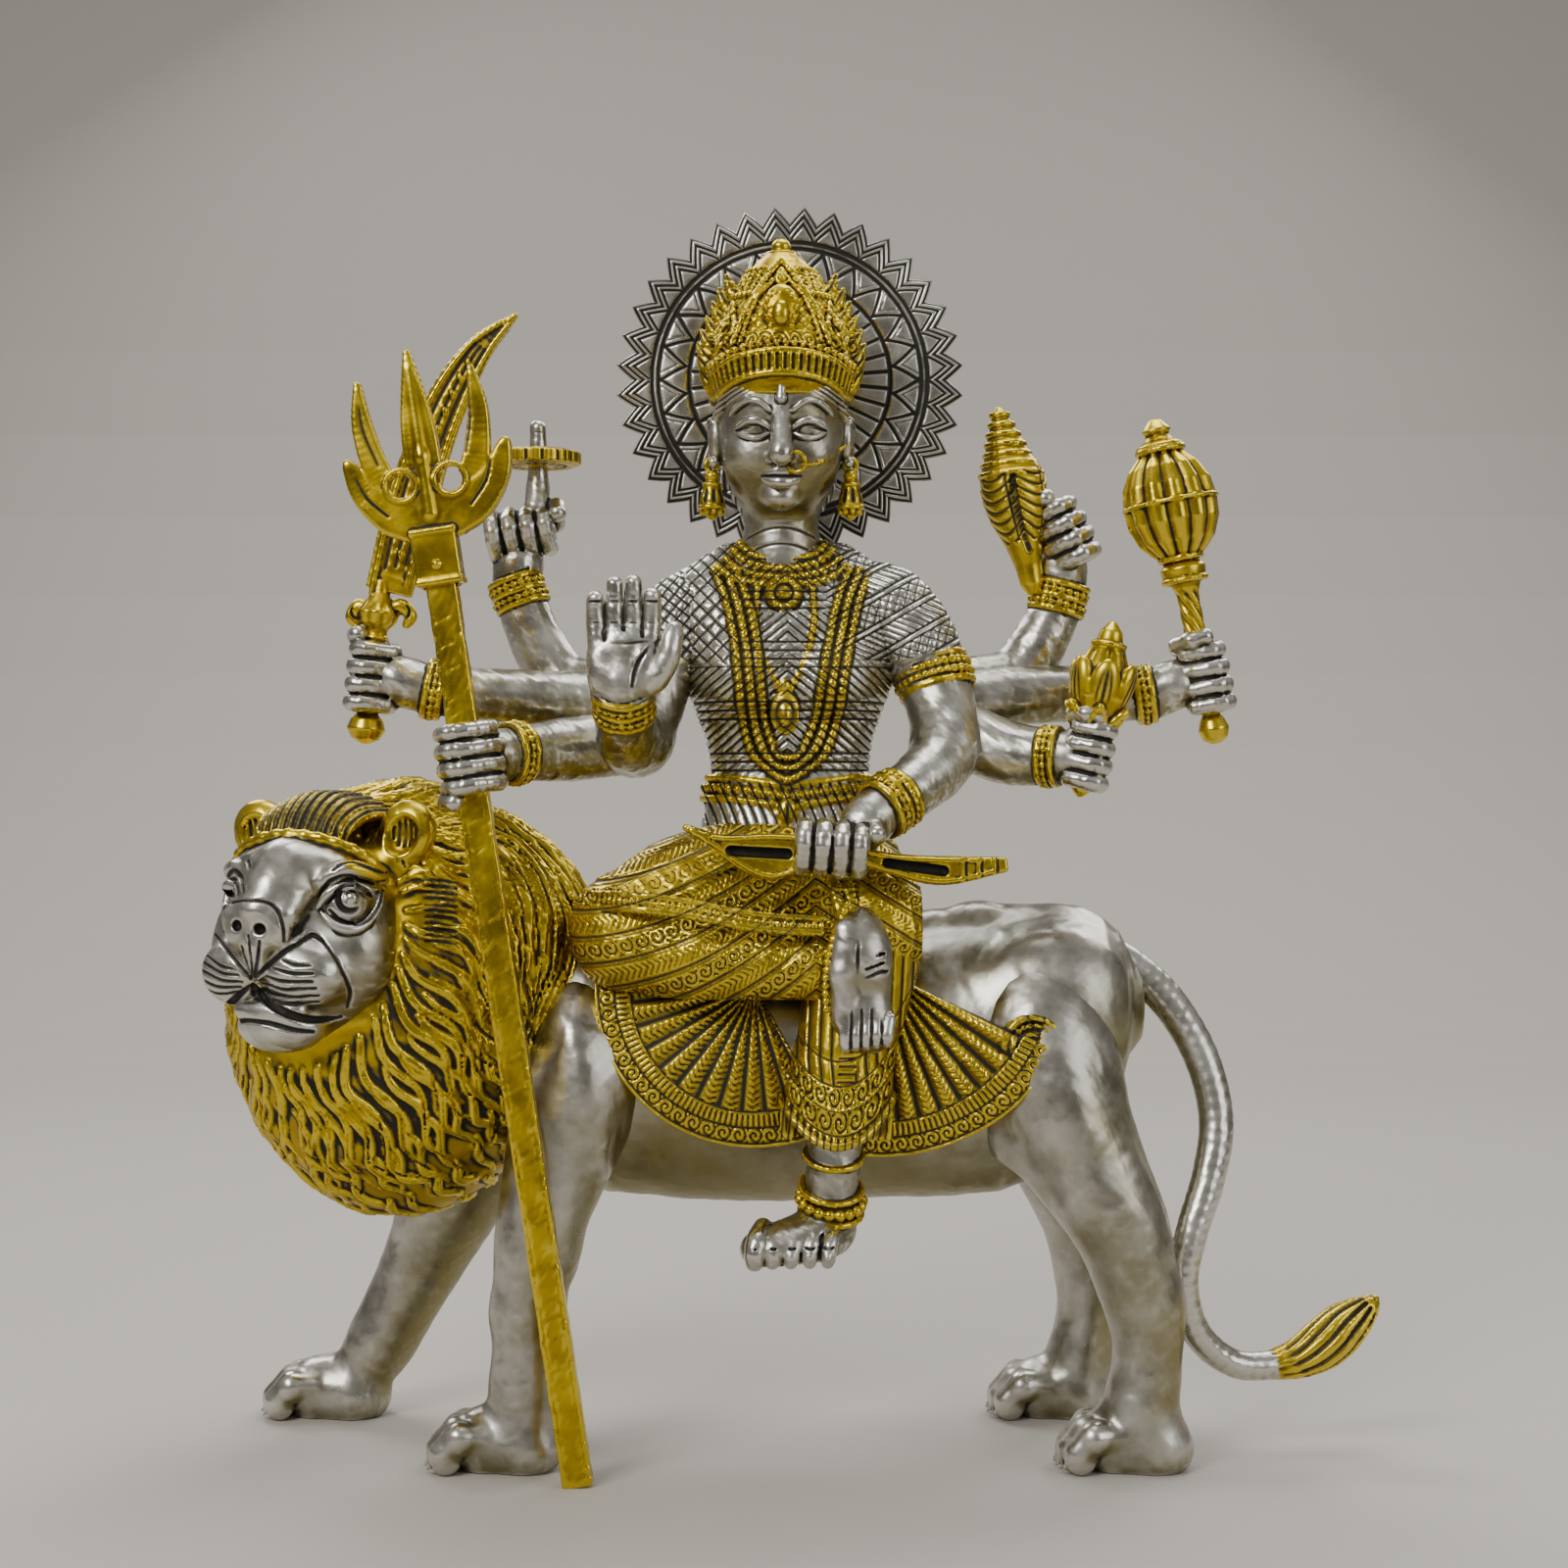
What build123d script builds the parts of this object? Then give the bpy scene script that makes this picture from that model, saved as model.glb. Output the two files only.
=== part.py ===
from build123d import *

import os
from math import cos, pi, radians, sin

# Brass figurine of an eight-armed goddess who sits on a standing lion.
#
# Millimetres, +Z up. The goddess faces -Y and the lion walks towards -X. The origin is the middle of the
# footprint, on the surface that the paws stand on. The castings are brazed where one grows out of another,
# the goddess is bolted to the lion, the halo is screwed to her head, the trident stands loose in a fist and
# the discus turns on a raised finger. "Near" is the goddess's front side, -Y, and "far" is her back.

# ---- driving dimensions -------------------------------------------------------------------------
wall = 5.0                    # of the hollow castings
fit_gap = 0.3                 # clearance of a loose fit, on each side
spin_gap = 0.08               # running clearance of the discus on its finger, on each side

trunk_half_width = 42.0       # the lion's trunk
trunk_half_height = 57.0
trunk_middle = (8.0, 155.0)   # y and z
drape_thickness = 8.0         # of the skirt over the lion's side
near_leg_y = trunk_middle[0] - trunk_half_width + 1.0
far_leg_y = trunk_middle[0] + trunk_half_width
trunk_top = trunk_middle[1] + trunk_half_height
paw_length = 53.0
paw_width = 34.0
paw_height = 25.0
tail_radius = 7.0
tuft_radius = 10.5

mane_radii = (71.0, trunk_half_width + 10.0, 90.0)
lion_head_radii = (36.0, 37.0, 43.0)
face_turn = -28.0             # the lion looks this far from -Y towards -X, in degrees

chest_half_width = 47.0
chest_half_depth = 26.0
waist_half_width = 33.0
head_radii = (26.5, 27.0, 35.0)
neck_radius = 15.0

halo_radius = 66.0            # to the roots of its teeth
halo_tooth = 7.0
halo_teeth = 36
halo_thickness = 4.0
halo_front_y = 24.0
crown_radius = 31.0
crown_height = 67.0

upper_arm_radius = 14.0
arm_radius = 12.0             # at the brazed end of the six rear arms
wrist_radius = 9.5
fist_width = 30.0             # along the rod that it holds
fist_depth = 22.0
finger_radius = 3.9

staff_width = 12.0
staff_depth = 8.0
staff_length = 366.0
trident_lean = 8.6            # degrees from upright, with its top towards -X
trident_foot_x = -87.5
trident_y = -58.0
trident_plate = 7.0
trident_hole_radius = 5.6
socket_length = 22.0          # of the head's socket, over the top of the staff
socket_wall = 3.2
rivet_radius = 1.6

chakra_radius = 18.0
chakra_thickness = 6.5
chakra_notches = 16
raised_finger_radius = 3.7

bolt_radius = 4.0             # through the lion's back into the goddess
bolt_head_radius = 6.5
bolt_head_height = 5.5
washer_radius = 10.0
washer_thickness = 1.8
bolt_at = (8.0, 8.0)          # x and y
bolt_top = 236.0
screw_radius = 2.0            # of the halo's two screws
screw_head_radius = 3.6
screw_head_height = 2.4
screw_length = 13.0
screw_spacing = 22.0

# ---- skeleton -----------------------------------------------------------------------------------
lion_head_centre = (-188, -30, 211)
mane_centre = (-164, 0, 183)
head_centre = (-9.5, -8, 410)
halo_centre = (-6, 439)       # x and z
lean = Vector(-sin(radians(trident_lean)), 0, cos(radians(trident_lean)))
across = Vector(cos(radians(trident_lean)), 0, sin(radians(trident_lean)))
trident_foot = Vector(trident_foot_x, trident_y, 0)
trident_fist = trident_foot + lean * 283
sword_fist = (-174, -16, 313)
finger_foot = (-110, 12, 380)
chakra_seat = 401.0           # height of the discus's underside
bow_fist = (10, -59, 245.5)
lotus_fist = (112, -28, 281.5)
mace_fist = (163, 0, 313)
mace_axis = Vector(-24.5, 0, 127).normalized()
conch_fist = (107, 13, 372)
conch_axis = Vector(-15, 1, 78).normalized()
lotus_axis = Vector(13, 0, 66).normalized()
sword_axis = Vector(6, 0, 56).normalized()


# ---- shapes that many pieces share --------------------------------------------------------------
def ellipsoid(centre, radii, turn=0.0, tip=0.0):
    """A closed ellipsoid with its poles along Y, tipped about Y and then turned about Z, in degrees."""
    ball = scale(Sphere(1, mode=Mode.PRIVATE), by=(radii[0], radii[2], radii[1]), mode=Mode.PRIVATE)
    return Pos(*centre) * Rot(0, 0, turn) * Rot(0, tip, 0) * Rot(90, 0, 0) * ball


def limb(*stations, round_start=False, round_end=False):
    """A smooth round limb through (x, y, z, radius) stations, with a ball at an end that shows, as a part."""
    points = [Vector(x, y, z) for x, y, z, radius in stations]
    with BuildPart() as form:
        for i, (*point, radius) in enumerate(stations):
            along = points[min(i + 1, len(points) - 1)] - points[max(i - 1, 0)]
            with BuildSketch(Plane(origin=point, x_dir=Vector(-along.Y, along.X, 0.001), z_dir=along)):
                Circle(radius)
        loft()
        for wanted, (*point, radius) in ((round_start, stations[0]), (round_end, stations[-1])):
            if wanted:
                add(ellipsoid(point, (radius * 1.01, radius * 1.01, radius * 1.01)))
    return form.part


def paw(heel_x, middle_y):
    """A lion's paw with a flat sole and its toes towards -X, as a part."""
    with BuildPart() as form:
        with Locations((heel_x, middle_y, 0)):
            Box(paw_length, paw_width, paw_height, align=(Align.MAX, Align.CENTER, Align.MIN))
        fillet(form.edges().filter_by(Axis.Z), paw_width * 0.38)
        fillet(form.edges().group_by(Axis.Z)[-1], paw_height * 0.36)
    return form.part


def fist(centre, rod, knuckles):
    """A closed hand, given the rod's direction and the way that the knuckles face, as a part."""
    with BuildPart(Plane(origin=centre, x_dir=knuckles, z_dir=rod)) as form:
        Box(fist_depth, fist_depth, fist_width)
        fillet(form.edges(), fist_depth * 0.27)
        with Locations([(fist_depth * 0.36, 0, (i - 1.5) * fist_width / 4) for i in range(4)]):
            Cylinder(finger_radius, fist_depth * 0.86, rotation=(90, 0, 0))
    return form.part


def open_hand(wrist_plane):
    """A flat hand with its fingers together, rising along the plane's Z from the wrist, as a part."""
    with BuildPart(wrist_plane) as form:
        with Locations((0, 0, 15)):
            Box(30, 10, 30)
        fillet(form.edges(), 4.5)
        for i in range(4):
            with Locations(((i - 1.5) * 7.0, 0, 35)):
                Cylinder(finger_radius, 24 - abs(i - 1.5) * 3)
    return form.part


def flank_shell(extra):
    """The lion's trunk as one closed form along X, grown outwards by extra, as a part."""
    y, z = trunk_middle
    stations = [(-118, 10, 9, 6), (-80, 5, 0, 0), (-30, 0, 0, 0), (30, 0, 0, 0), (80, 4, 0, 0),
                (112, 13, 7, 4), (130, 21, 23, 16)]
    with BuildPart() as form:
        for x, rise, less_height, less_width in stations:
            with BuildSketch(Plane(origin=(x, y, z + rise), x_dir=(0, 1, 0), z_dir=(1, 0, 0))):
                Ellipse(trunk_half_width - less_width + extra, trunk_half_height - less_height + extra)
        loft()
    return form.part


def chest(extra):
    """The goddess's upper body from seat to neck, grown outwards by extra, as a part."""
    shoulder = chest_half_width + 2
    stations = [(238, -5, 0, waist_half_width + 6, 24), (256, -5, 0, waist_half_width + 4, 23),
                (277, -5, 0, waist_half_width, 20), (300, -6, -1, waist_half_width + 5, 23),
                (322, -8, -3, chest_half_width - 1, chest_half_depth + 1),
                (342, -9, -1, shoulder, chest_half_depth - 4), (354, -9, 0, shoulder - 5, 16),
                (364, -9, 0, 21, 13)]
    with BuildPart() as form:
        for z, x, y, half_width, half_depth in stations:
            with BuildSketch(Plane.XY.offset(z)):
                with Locations((x, y)):
                    Ellipse(half_width + extra, half_depth + extra)
        loft()
    return form.part


def spindle(axis_plane, outline):
    """A turned form: an outline of (radius, height) points spun about the plane's Z, as a part."""
    with BuildPart() as form:
        with BuildSketch(Plane.XZ):
            Polygon((0, outline[0][1]), *outline, (0, outline[-1][1]), align=None)
        revolve(axis=Axis.Z)
    return axis_plane.location * form.part


def fan_sector(centre, radius, start, end):
    """A tall wedge of a circle in the XZ plane, through the near side of the lion, as a part."""
    x, z = centre
    with BuildPart() as form:
        with BuildSketch(Plane.XZ.offset(0)):
            with BuildLine():
                rim = CenterArc((x, z), radius, start, end - start)
                Polyline(rim @ 1, (x, z), rim @ 0)
            make_face()
        extrude(amount=90)
    return form.part


def core(stations):
    """The hollow left by a casting core inside a limb with these stations, one wall thinner, as a part."""
    return limb(*[(x, y, z, radius - wall) for x, y, z, radius in stations])


def carve(piece, *others):
    """Cuts the other pieces out of the piece whose block is open and keeps its largest solid."""
    for other in others:
        add(other.part, mode=Mode.SUBTRACT)
    add(piece.part.solids().sort_by(SortBy.VOLUME)[-1], mode=Mode.REPLACE)


def finish(piece, name):
    piece.part.label = name
    export_step(piece.part, f"parts/{name}.step")


os.makedirs("parts", exist_ok=True)
trunk_form = flank_shell(0)
chest_form = chest(0)

# ---- trident: stands on the floor in front of the lion, loose in a fist --------------------------
foot_plane = Plane(origin=trident_foot, x_dir=across, z_dir=lean)
face_plane = Plane(origin=trident_foot, x_dir=across, z_dir=(0, -1, 0))
staff_reach = 4.0             # cut off level with the floor
socket_start = staff_length - socket_length + 6

with BuildPart() as trident_staff:
    with BuildSketch(foot_plane.offset(-staff_reach)):
        RectangleRounded(staff_width, staff_depth, 2.0)
    extrude(amount=staff_length + staff_reach)
    split(bisect_by=Plane.XY, keep=Keep.TOP)
    with Locations(Plane(origin=trident_foot + lean * (socket_start + 8), z_dir=(0, 1, 0))):
        Cylinder(rivet_radius, staff_depth * 2, mode=Mode.SUBTRACT)
finish(trident_staff, "trident_staff")

with BuildPart() as trident_head:
    with BuildSketch(face_plane.offset(-trident_plate / 2)):
        with BuildLine():
            side = Polyline((0, socket_start + 10), (9, socket_start + 16), (17, 373), (27, 382), (33, 402))
            inner = Polyline(side @ 1, (26, 397), (24, 432), (15, 411), (8.5, 403), (6, 411), (0, 441))
            mirror(side, about=Plane.YZ)
            mirror(inner, about=Plane.YZ)
        make_face()
        with Locations((9.7, 390), (-9.7, 390)):
            Circle(trident_hole_radius, mode=Mode.SUBTRACT)
    extrude(amount=trident_plate)
    with BuildSketch(foot_plane.offset(socket_start)):
        RectangleRounded(staff_width + 2 * socket_wall, staff_depth + 2 * socket_wall, 3.5)
    extrude(amount=socket_length)
    with BuildSketch(foot_plane.offset(socket_start)):
        RectangleRounded(staff_width, staff_depth, 2.0)
    extrude(amount=staff_length - socket_start, mode=Mode.SUBTRACT)
    with Locations(Plane(origin=trident_foot + lean * (socket_start + 8), z_dir=(0, 1, 0))):
        Cylinder(rivet_radius, staff_depth * 3, mode=Mode.SUBTRACT)
finish(trident_head, "trident_head")

rivet_grip = staff_depth + 2 * socket_wall
with BuildPart(Plane(origin=trident_foot + lean * (socket_start + 8), z_dir=(0, 1, 0))) as trident_rivet:
    Cylinder(rivet_radius, rivet_grip)
    for side in (-1, 1):
        with Locations((0, 0, side * (rivet_grip / 2 + 0.5))):
            Cylinder(rivet_radius * 1.7, 1.0)
finish(trident_rivet, "trident_rivet")

# ---- what the other hands hold --------------------------------------------------------------------
sword_foot = Plane(origin=Vector(*sword_fist) - sword_axis * 26, z_dir=sword_axis)
with BuildPart() as sword:
    add(spindle(sword_foot, [(3.2, 0), (5.8, 5), (3.4, 10), (3.4, 40), (7.5, 47), (13.5, 58), (9, 70)]))
    with BuildSketch(Plane.XZ.offset(-sword_fist[1] - 2.5)):
        with BuildLine():
            back = Spline((-178, 352), (-167, 384), (-153, 422), (-136, 447), (-115.5, 459))
            edge = Spline(back @ 1, (-127, 441), (-138, 415), (-147, 384), (-156, 352))
            Line(edge @ 1, back @ 0)
        make_face()
    extrude(amount=5)
finish(sword, "sword")

mace_foot = Plane(origin=Vector(*mace_fist) - mace_axis * 27, z_dir=mace_axis)
with BuildPart() as mace:
    add(spindle(mace_foot, [(3.0, 0), (6.6, 5), (4.6, 11), (4.8, 40), (7.6, 62), (8.4, 68), (16.5, 84),
                            (19.6, 100), (15.5, 117), (8.5, 124), (6.2, 129), (2.0, 135)]))
finish(mace, "mace")

conch_foot = Plane(origin=(94.5, 8, 348), z_dir=conch_axis)
with BuildPart() as conch:
    add(spindle(conch_foot, [(2.5, 0), (6.5, 12), (9.5, 24), (14.2, 42), (13.0, 58), (7.8, 69), (5.0, 74),
                             (1.6, 79)]))
finish(conch, "conch")

lotus_foot = Plane(origin=Vector(*lotus_fist) - lotus_axis * 17, z_dir=lotus_axis)
with BuildPart() as lotus:
    add(spindle(lotus_foot, [(2.6, 0), (3.2, 16), (5.0, 24), (12.5, 38), (13.5, 46), (8.5, 58), (5.5, 62),
                             (4.5, 66), (1.5, 71)]))
    for i in range(6):
        bud = lotus_foot.location * Rot(0, 0, 60 * i + 30) * Pos(9.5, 0, 44) * Rot(0, 14, 0)
        add(bud * ellipsoid((0, 0, 0), (4.2, 6.4, 11.5)))
finish(lotus, "lotus")

bow_plane = Plane.XZ.offset(-bow_fist[1] - 3.5)
with BuildPart() as bow:
    with BuildSketch(bow_plane):
        with BuildLine():
            top = Spline((-46, 254.5), (-33, 250), (-12, 251), (10, 249), (34, 243), (76, 242))
            low = Spline((76, 236), (52, 231), (30, 236), (10, 242), (-14, 233), (-36, 246), (-46, 252))
            Line(top @ 1, low @ 0)
            Line(low @ 1, top @ 0)
        make_face()
        with Locations(Location((-18, 243.8), -3), Location((42, 238.2), -8)):
            SlotOverall(26, 4.2, mode=Mode.SUBTRACT)
    extrude(amount=7)
finish(bow, "bow")

with BuildPart() as chakra:
    with BuildSketch(Plane.XY.offset(chakra_seat)):
        with Locations(finger_foot[:2]):
            Circle(chakra_radius)
            with PolarLocations(chakra_radius, chakra_notches):
                Circle(1.3, mode=Mode.SUBTRACT)
            Circle(raised_finger_radius + spin_gap, mode=Mode.SUBTRACT)
    extrude(amount=chakra_thickness)
finish(chakra, "chakra")

# ---- arms: the two front ones grow from the shoulders, the rest are brazed to them ----------------
shoulder_z = 346
with BuildPart() as arm_blessing:
    add(limb((-50, -1, shoulder_z, upper_arm_radius), (-60, -12, 312, 13.5), (-67, -25, 286, 13),
             round_start=True, round_end=True))
    add(limb((-67, -25, 286, 12.5), (-71, -46, 295, 11), (-71, -58, 306, wrist_radius)))
    add(open_hand(Plane(origin=(-70, -60, 304), x_dir=(1, 0, 0), z_dir=(0.04, -0.1, 1))))
    add(limb((-59, -62, 312, 4.6), (-51, -63, 330, 3.6)))
finish(arm_blessing, "arm_blessing")

with BuildPart() as arm_bow:
    add(limb((40, -1, shoulder_z, upper_arm_radius), (52, -8, 314, 14), (57, -20, 284, 13),
             round_start=True, round_end=True))
    add(limb((57, -20, 284, 12.5), (34, -42, 266, wrist_radius + 1), (18, -55, 251, wrist_radius)))
    add(fist(bow_fist, rod=(1, 0, -0.08), knuckles=(0, -1, 0.15)))
    carve(arm_bow, bow)
finish(arm_bow, "arm_bow")

staff_room = foot_plane.location * Box(staff_width + 2 * fit_gap, staff_depth + 2 * fit_gap, 800)
with BuildPart() as arm_trident:
    add(limb((-67, -23, 287, 11.5), (-97, -28, 283.5, arm_radius), (-124, -51, 281, wrist_radius)))
    add(fist(trident_fist, rod=lean, knuckles=(-0.75, -0.66, 0)))
    add(staff_room, mode=Mode.SUBTRACT)
    carve(arm_trident, arm_blessing)
finish(arm_trident, "arm_trident")

with BuildPart() as arm_sword:
    add(limb((-70, -4, 302, arm_radius), (-100, -7, 303, 11), (-150, -14, 308, wrist_radius),
             (-162, -16, 312, 10)))
    add(fist(sword_fist, rod=sword_axis, knuckles=(-0.7, -0.7, 0)))
    carve(arm_sword, sword, arm_blessing, arm_trident)
finish(arm_sword, "arm_sword")

shoulder_height = chakra_seat - fit_gap - finger_foot[2]
finger_height = chakra_seat + chakra_thickness + 7 - finger_foot[2]
with BuildPart() as arm_chakra:
    add(limb((-70, 3, 310, arm_radius), (-97, 9, 311, arm_radius), (-119, 14, 349, wrist_radius),
             (-118, 14, 362, 10)))
    add(fist((-117, 14, 373), rod=(1, 0, 0), knuckles=(0, -1, 0.2)))
    with Locations(finger_foot):
        Cone(5.5, 4.9, shoulder_height, align=(Align.CENTER, Align.CENTER, Align.MIN))
        Cylinder(raised_finger_radius, finger_height, align=(Align.CENTER, Align.CENTER, Align.MIN))
    with Locations((*finger_foot[:2], finger_foot[2] + finger_height)):
        Sphere(raised_finger_radius)
    carve(arm_chakra, arm_blessing, arm_sword)
finish(arm_chakra, "arm_chakra")

with BuildPart() as arm_lotus:
    add(limb((60, -10, 294, arm_radius), (84, -17, 282, arm_radius), (106, -26, 280.5, wrist_radius)))
    add(fist(lotus_fist, rod=lotus_axis, knuckles=(0.5, -0.86, 0)))
    carve(arm_lotus, lotus, arm_bow)
finish(arm_lotus, "arm_lotus")

with BuildPart() as arm_mace:
    add(limb((62, 2, 303, arm_radius), (110, 5, 307, 11), (138, 3, 306, wrist_radius), (152, 1, 311, 10)))
    add(fist(mace_fist, rod=mace_axis, knuckles=(0.6, -0.8, 0.1)))
    carve(arm_mace, mace, arm_bow, arm_lotus)
finish(arm_mace, "arm_mace")

with BuildPart() as arm_conch:
    add(limb((62, 9, 309, arm_radius), (87, 13, 314, arm_radius), (105, 15, 347, wrist_radius),
             (107, 14, 360, 10)))
    add(fist(conch_fist, rod=(-0.5, 0, 1), knuckles=(0, -1, 0.1)))
    carve(arm_conch, conch, arm_bow, arm_mace)
finish(arm_conch, "arm_conch")

# ---- goddess: head, halo and crown ---------------------------------------------------------------
hx, hy, hz = head_centre
screw_z = [hz - 1 + i * screw_spacing for i in range(2)]
with BuildPart() as halo:
    with BuildSketch(Plane.XZ.offset(-halo_front_y - halo_thickness)):
        pitch = 2 * pi / halo_teeth
        rim = [((halo_radius + halo_tooth * (i % 2)) * cos(i * pitch / 2) + halo_centre[0],
                (halo_radius + halo_tooth * (i % 2)) * sin(i * pitch / 2) + halo_centre[1])
               for i in range(2 * halo_teeth)]
        Polygon(*rim, align=None)
        with Locations(*[(hx, z) for z in screw_z]):
            Circle(screw_radius + fit_gap, mode=Mode.SUBTRACT)
    extrude(amount=halo_thickness)
finish(halo, "halo")

with BuildPart() as halo_screws:
    for z in screw_z:
        with Locations(Plane(origin=(hx, halo_front_y + halo_thickness, z), z_dir=(0, 1, 0))):
            Cylinder(screw_head_radius, screw_head_height, align=(Align.CENTER, Align.CENTER, Align.MIN))
            Cylinder(screw_radius, screw_length, align=(Align.CENTER, Align.CENTER, Align.MAX))
finish(halo_screws, "halo_screws")

with BuildPart() as crown:
    with BuildSketch(Plane.XZ):
        with BuildLine():
            flare = ThreePointArc((crown_radius, 9), (crown_radius * 0.74, crown_height * 0.58),
                                  (2.5, crown_height - 2))
            Polyline(flare @ 1, (0, crown_height), (0, 0), (crown_radius - 2, 0), flare @ 0)
        make_face()
    revolve(axis=Axis.Z)
crown_form = Pos(hx, hy, hz + 14) * crown.part
with BuildPart() as crown:
    add(crown_form)
    add(ellipsoid(head_centre, head_radii), mode=Mode.SUBTRACT)
    with Locations((hx, halo_front_y + 25, hz + 40)):
        Box(200, 50, 200, mode=Mode.SUBTRACT)
    with Locations(*[(hx, hy, z) for z in screw_z]):
        Cylinder(screw_radius + fit_gap, 90, rotation=(90, 0, 0), mode=Mode.SUBTRACT)

with BuildPart() as goddess_head:
    add(ellipsoid(head_centre, head_radii))
    with Locations(Plane(origin=(hx, -1, 352), z_dir=(0, 0, 1))):
        Cone(neck_radius + 3, neck_radius, 40, align=(Align.CENTER, Align.CENTER, Align.MIN))
    add(ellipsoid((hx, hy - head_radii[1] + 1, hz - 3), (4.2, 6, 9)))
    for side in (-1, 1):
        add(ellipsoid((hx + side * head_radii[0], hy + 3, hz), (4.5, 6, 10)))
    add(ellipsoid(head_centre, [radius - wall for radius in head_radii]), mode=Mode.SUBTRACT)
    with Locations(Plane(origin=(hx, 0, hz + 10), z_dir=(0, 1, 0))):
        Cylinder(17, halo_front_y, align=(Align.CENTER, Align.CENTER, Align.MIN))
    add(crown.part, mode=Mode.SUBTRACT)
    for z in screw_z:
        with Locations(Plane(origin=(hx, halo_front_y, z), z_dir=(0, 1, 0))):
            Cylinder(screw_radius, screw_length - halo_thickness, mode=Mode.SUBTRACT,
                     align=(Align.CENTER, Align.CENTER, Align.MAX))
finish(crown, "crown")
finish(goddess_head, "goddess_head")

with BuildPart() as earrings:
    for side in (-1, 1):
        with Locations((hx + side * (head_radii[0] + 1.5), hy - 1, hz - 11)):
            Sphere(3.2)
            Cone(6.2, 3.0, 17, align=(Align.CENTER, Align.CENTER, Align.MAX))
            with Locations((0, 0, -19)):
                Cylinder(7.2, 4)
    add(goddess_head.part, mode=Mode.SUBTRACT)
finish(earrings, "earrings")

# ---- goddess: body, lap and legs -----------------------------------------------------------------
with BuildPart() as folded_foot:
    add(ellipsoid((22, -58, 196), (11, 8, 27), tip=-3))
    add(ellipsoid((23, -60, 177), (11.5, 7.5, 11)))

with BuildPart() as lap:
    add(ellipsoid((-4, -4, 230), (47, 34, 33)))
    add(limb((-14, -14, 230, 29), (-45, -24, 222, 28), (-70, -31, 213, 24), round_end=True))
    add(limb((-70, -33, 209, 21), (-40, -43, 203, 19), (2, -47, 200, 16), round_end=True))
    add(limb((8, -10, 232, 28), (27, -34, 214, 24), round_end=True))
    add(trunk_form, mode=Mode.SUBTRACT)
    with Locations((*bolt_at, bolt_top)):
        Cylinder(bolt_radius, 80, align=(Align.CENTER, Align.CENTER, Align.MAX), mode=Mode.SUBTRACT)
    carve(lap, folded_foot, bow, arm_bow)

with BuildPart() as goddess_torso:
    add(chest_form)
    add(chest(-wall), mode=Mode.SUBTRACT)
    carve(goddess_torso, lap, goddess_head, arm_blessing, arm_bow, arm_sword, arm_chakra, arm_lotus,
          arm_mace, arm_conch)

with BuildPart() as hanging_foot:
    add(limb((12, -48, 138, 11), (10, -50, 108, 10), (9, -51, 96, 10.5)))
    add(ellipsoid((-3, -55, 94), (23, 13, 9), turn=20))
finish(hanging_foot, "hanging_foot")

with BuildPart() as hanging_gown:
    add(limb((24, -36, 205, 22), (15, -44, 165, 20), (12, -45, 142, 22)))
    with Locations((12, -45, 131)):
        Box(90, 90, 20, align=(Align.CENTER, Align.CENTER, Align.MAX), mode=Mode.SUBTRACT)
    add(trunk_form, mode=Mode.SUBTRACT)
    carve(hanging_gown, lap, folded_foot, hanging_foot)

drape_form = flank_shell(drape_thickness)
with BuildPart() as skirt_fan_left:
    add(drape_form)
    add(fan_sector((-20, 190), 63, 172, 287), mode=Mode.INTERSECT)
    add(trunk_form, mode=Mode.SUBTRACT)
    carve(skirt_fan_left, lap, hanging_gown, hanging_foot)

with BuildPart() as skirt_fan_right:
    add(drape_form)
    add(fan_sector((30, 197), 74, -96, -26), mode=Mode.INTERSECT)
    add(trunk_form, mode=Mode.SUBTRACT)
    carve(skirt_fan_right, lap, hanging_gown, hanging_foot)

# ---- lion ----------------------------------------------------------------------------------------
with BuildPart() as lion_tail:
    add(limb((112, 8, trunk_top - 12, tail_radius + 3), (133, 8, trunk_top - 17, tail_radius + 1),
             (148, 4, 181, tail_radius), (161, -2, 160, tail_radius), (166, -8, 135, tail_radius),
             (162, -15, 112, tail_radius), (153, -21, 90, tail_radius - 1), (150, -24, 70, tail_radius - 1),
             (157, -20, 50, tail_radius - 1), (173, -16, 37, tail_radius - 0.5),
             (193, -12, 36, tail_radius), (206, -10, 42, tuft_radius - 1), (214, -9, 47, tuft_radius),
             (225, -7, 55, 7.5), (232, -6, 60, 2.5)))
finish(lion_tail, "lion_tail")

near_hind_thigh = [(94, near_leg_y + 19, 172, 31), (104, near_leg_y + 9, 132, 27),
                   (124, near_leg_y + 2, 98, 19)]
with BuildPart() as lion_hind_leg_near:
    add(limb(*near_hind_thigh, (130, near_leg_y, 72, 15.5), (134, near_leg_y, 46, 12.5),
             (131, near_leg_y, 12, 14)))
    add(paw(151, near_leg_y))
    add(core(near_hind_thigh), mode=Mode.SUBTRACT)
    carve(lion_hind_leg_near, lion_tail, skirt_fan_right)

far_hind_thigh = [(94, far_leg_y - 24, 165, 30), (104, far_leg_y - 12, 125, 25),
                  (118, far_leg_y - 4, 88, 17)]
with BuildPart() as lion_hind_leg_far:
    add(limb(*far_hind_thigh, (121, far_leg_y, 60, 14), (121, far_leg_y, 38, 12.5),
             (116, far_leg_y, 12, 14)))
    add(paw(131, far_leg_y))
    add(core(far_hind_thigh), mode=Mode.SUBTRACT)
    carve(lion_hind_leg_far, lion_tail, lion_hind_leg_near)

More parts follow.
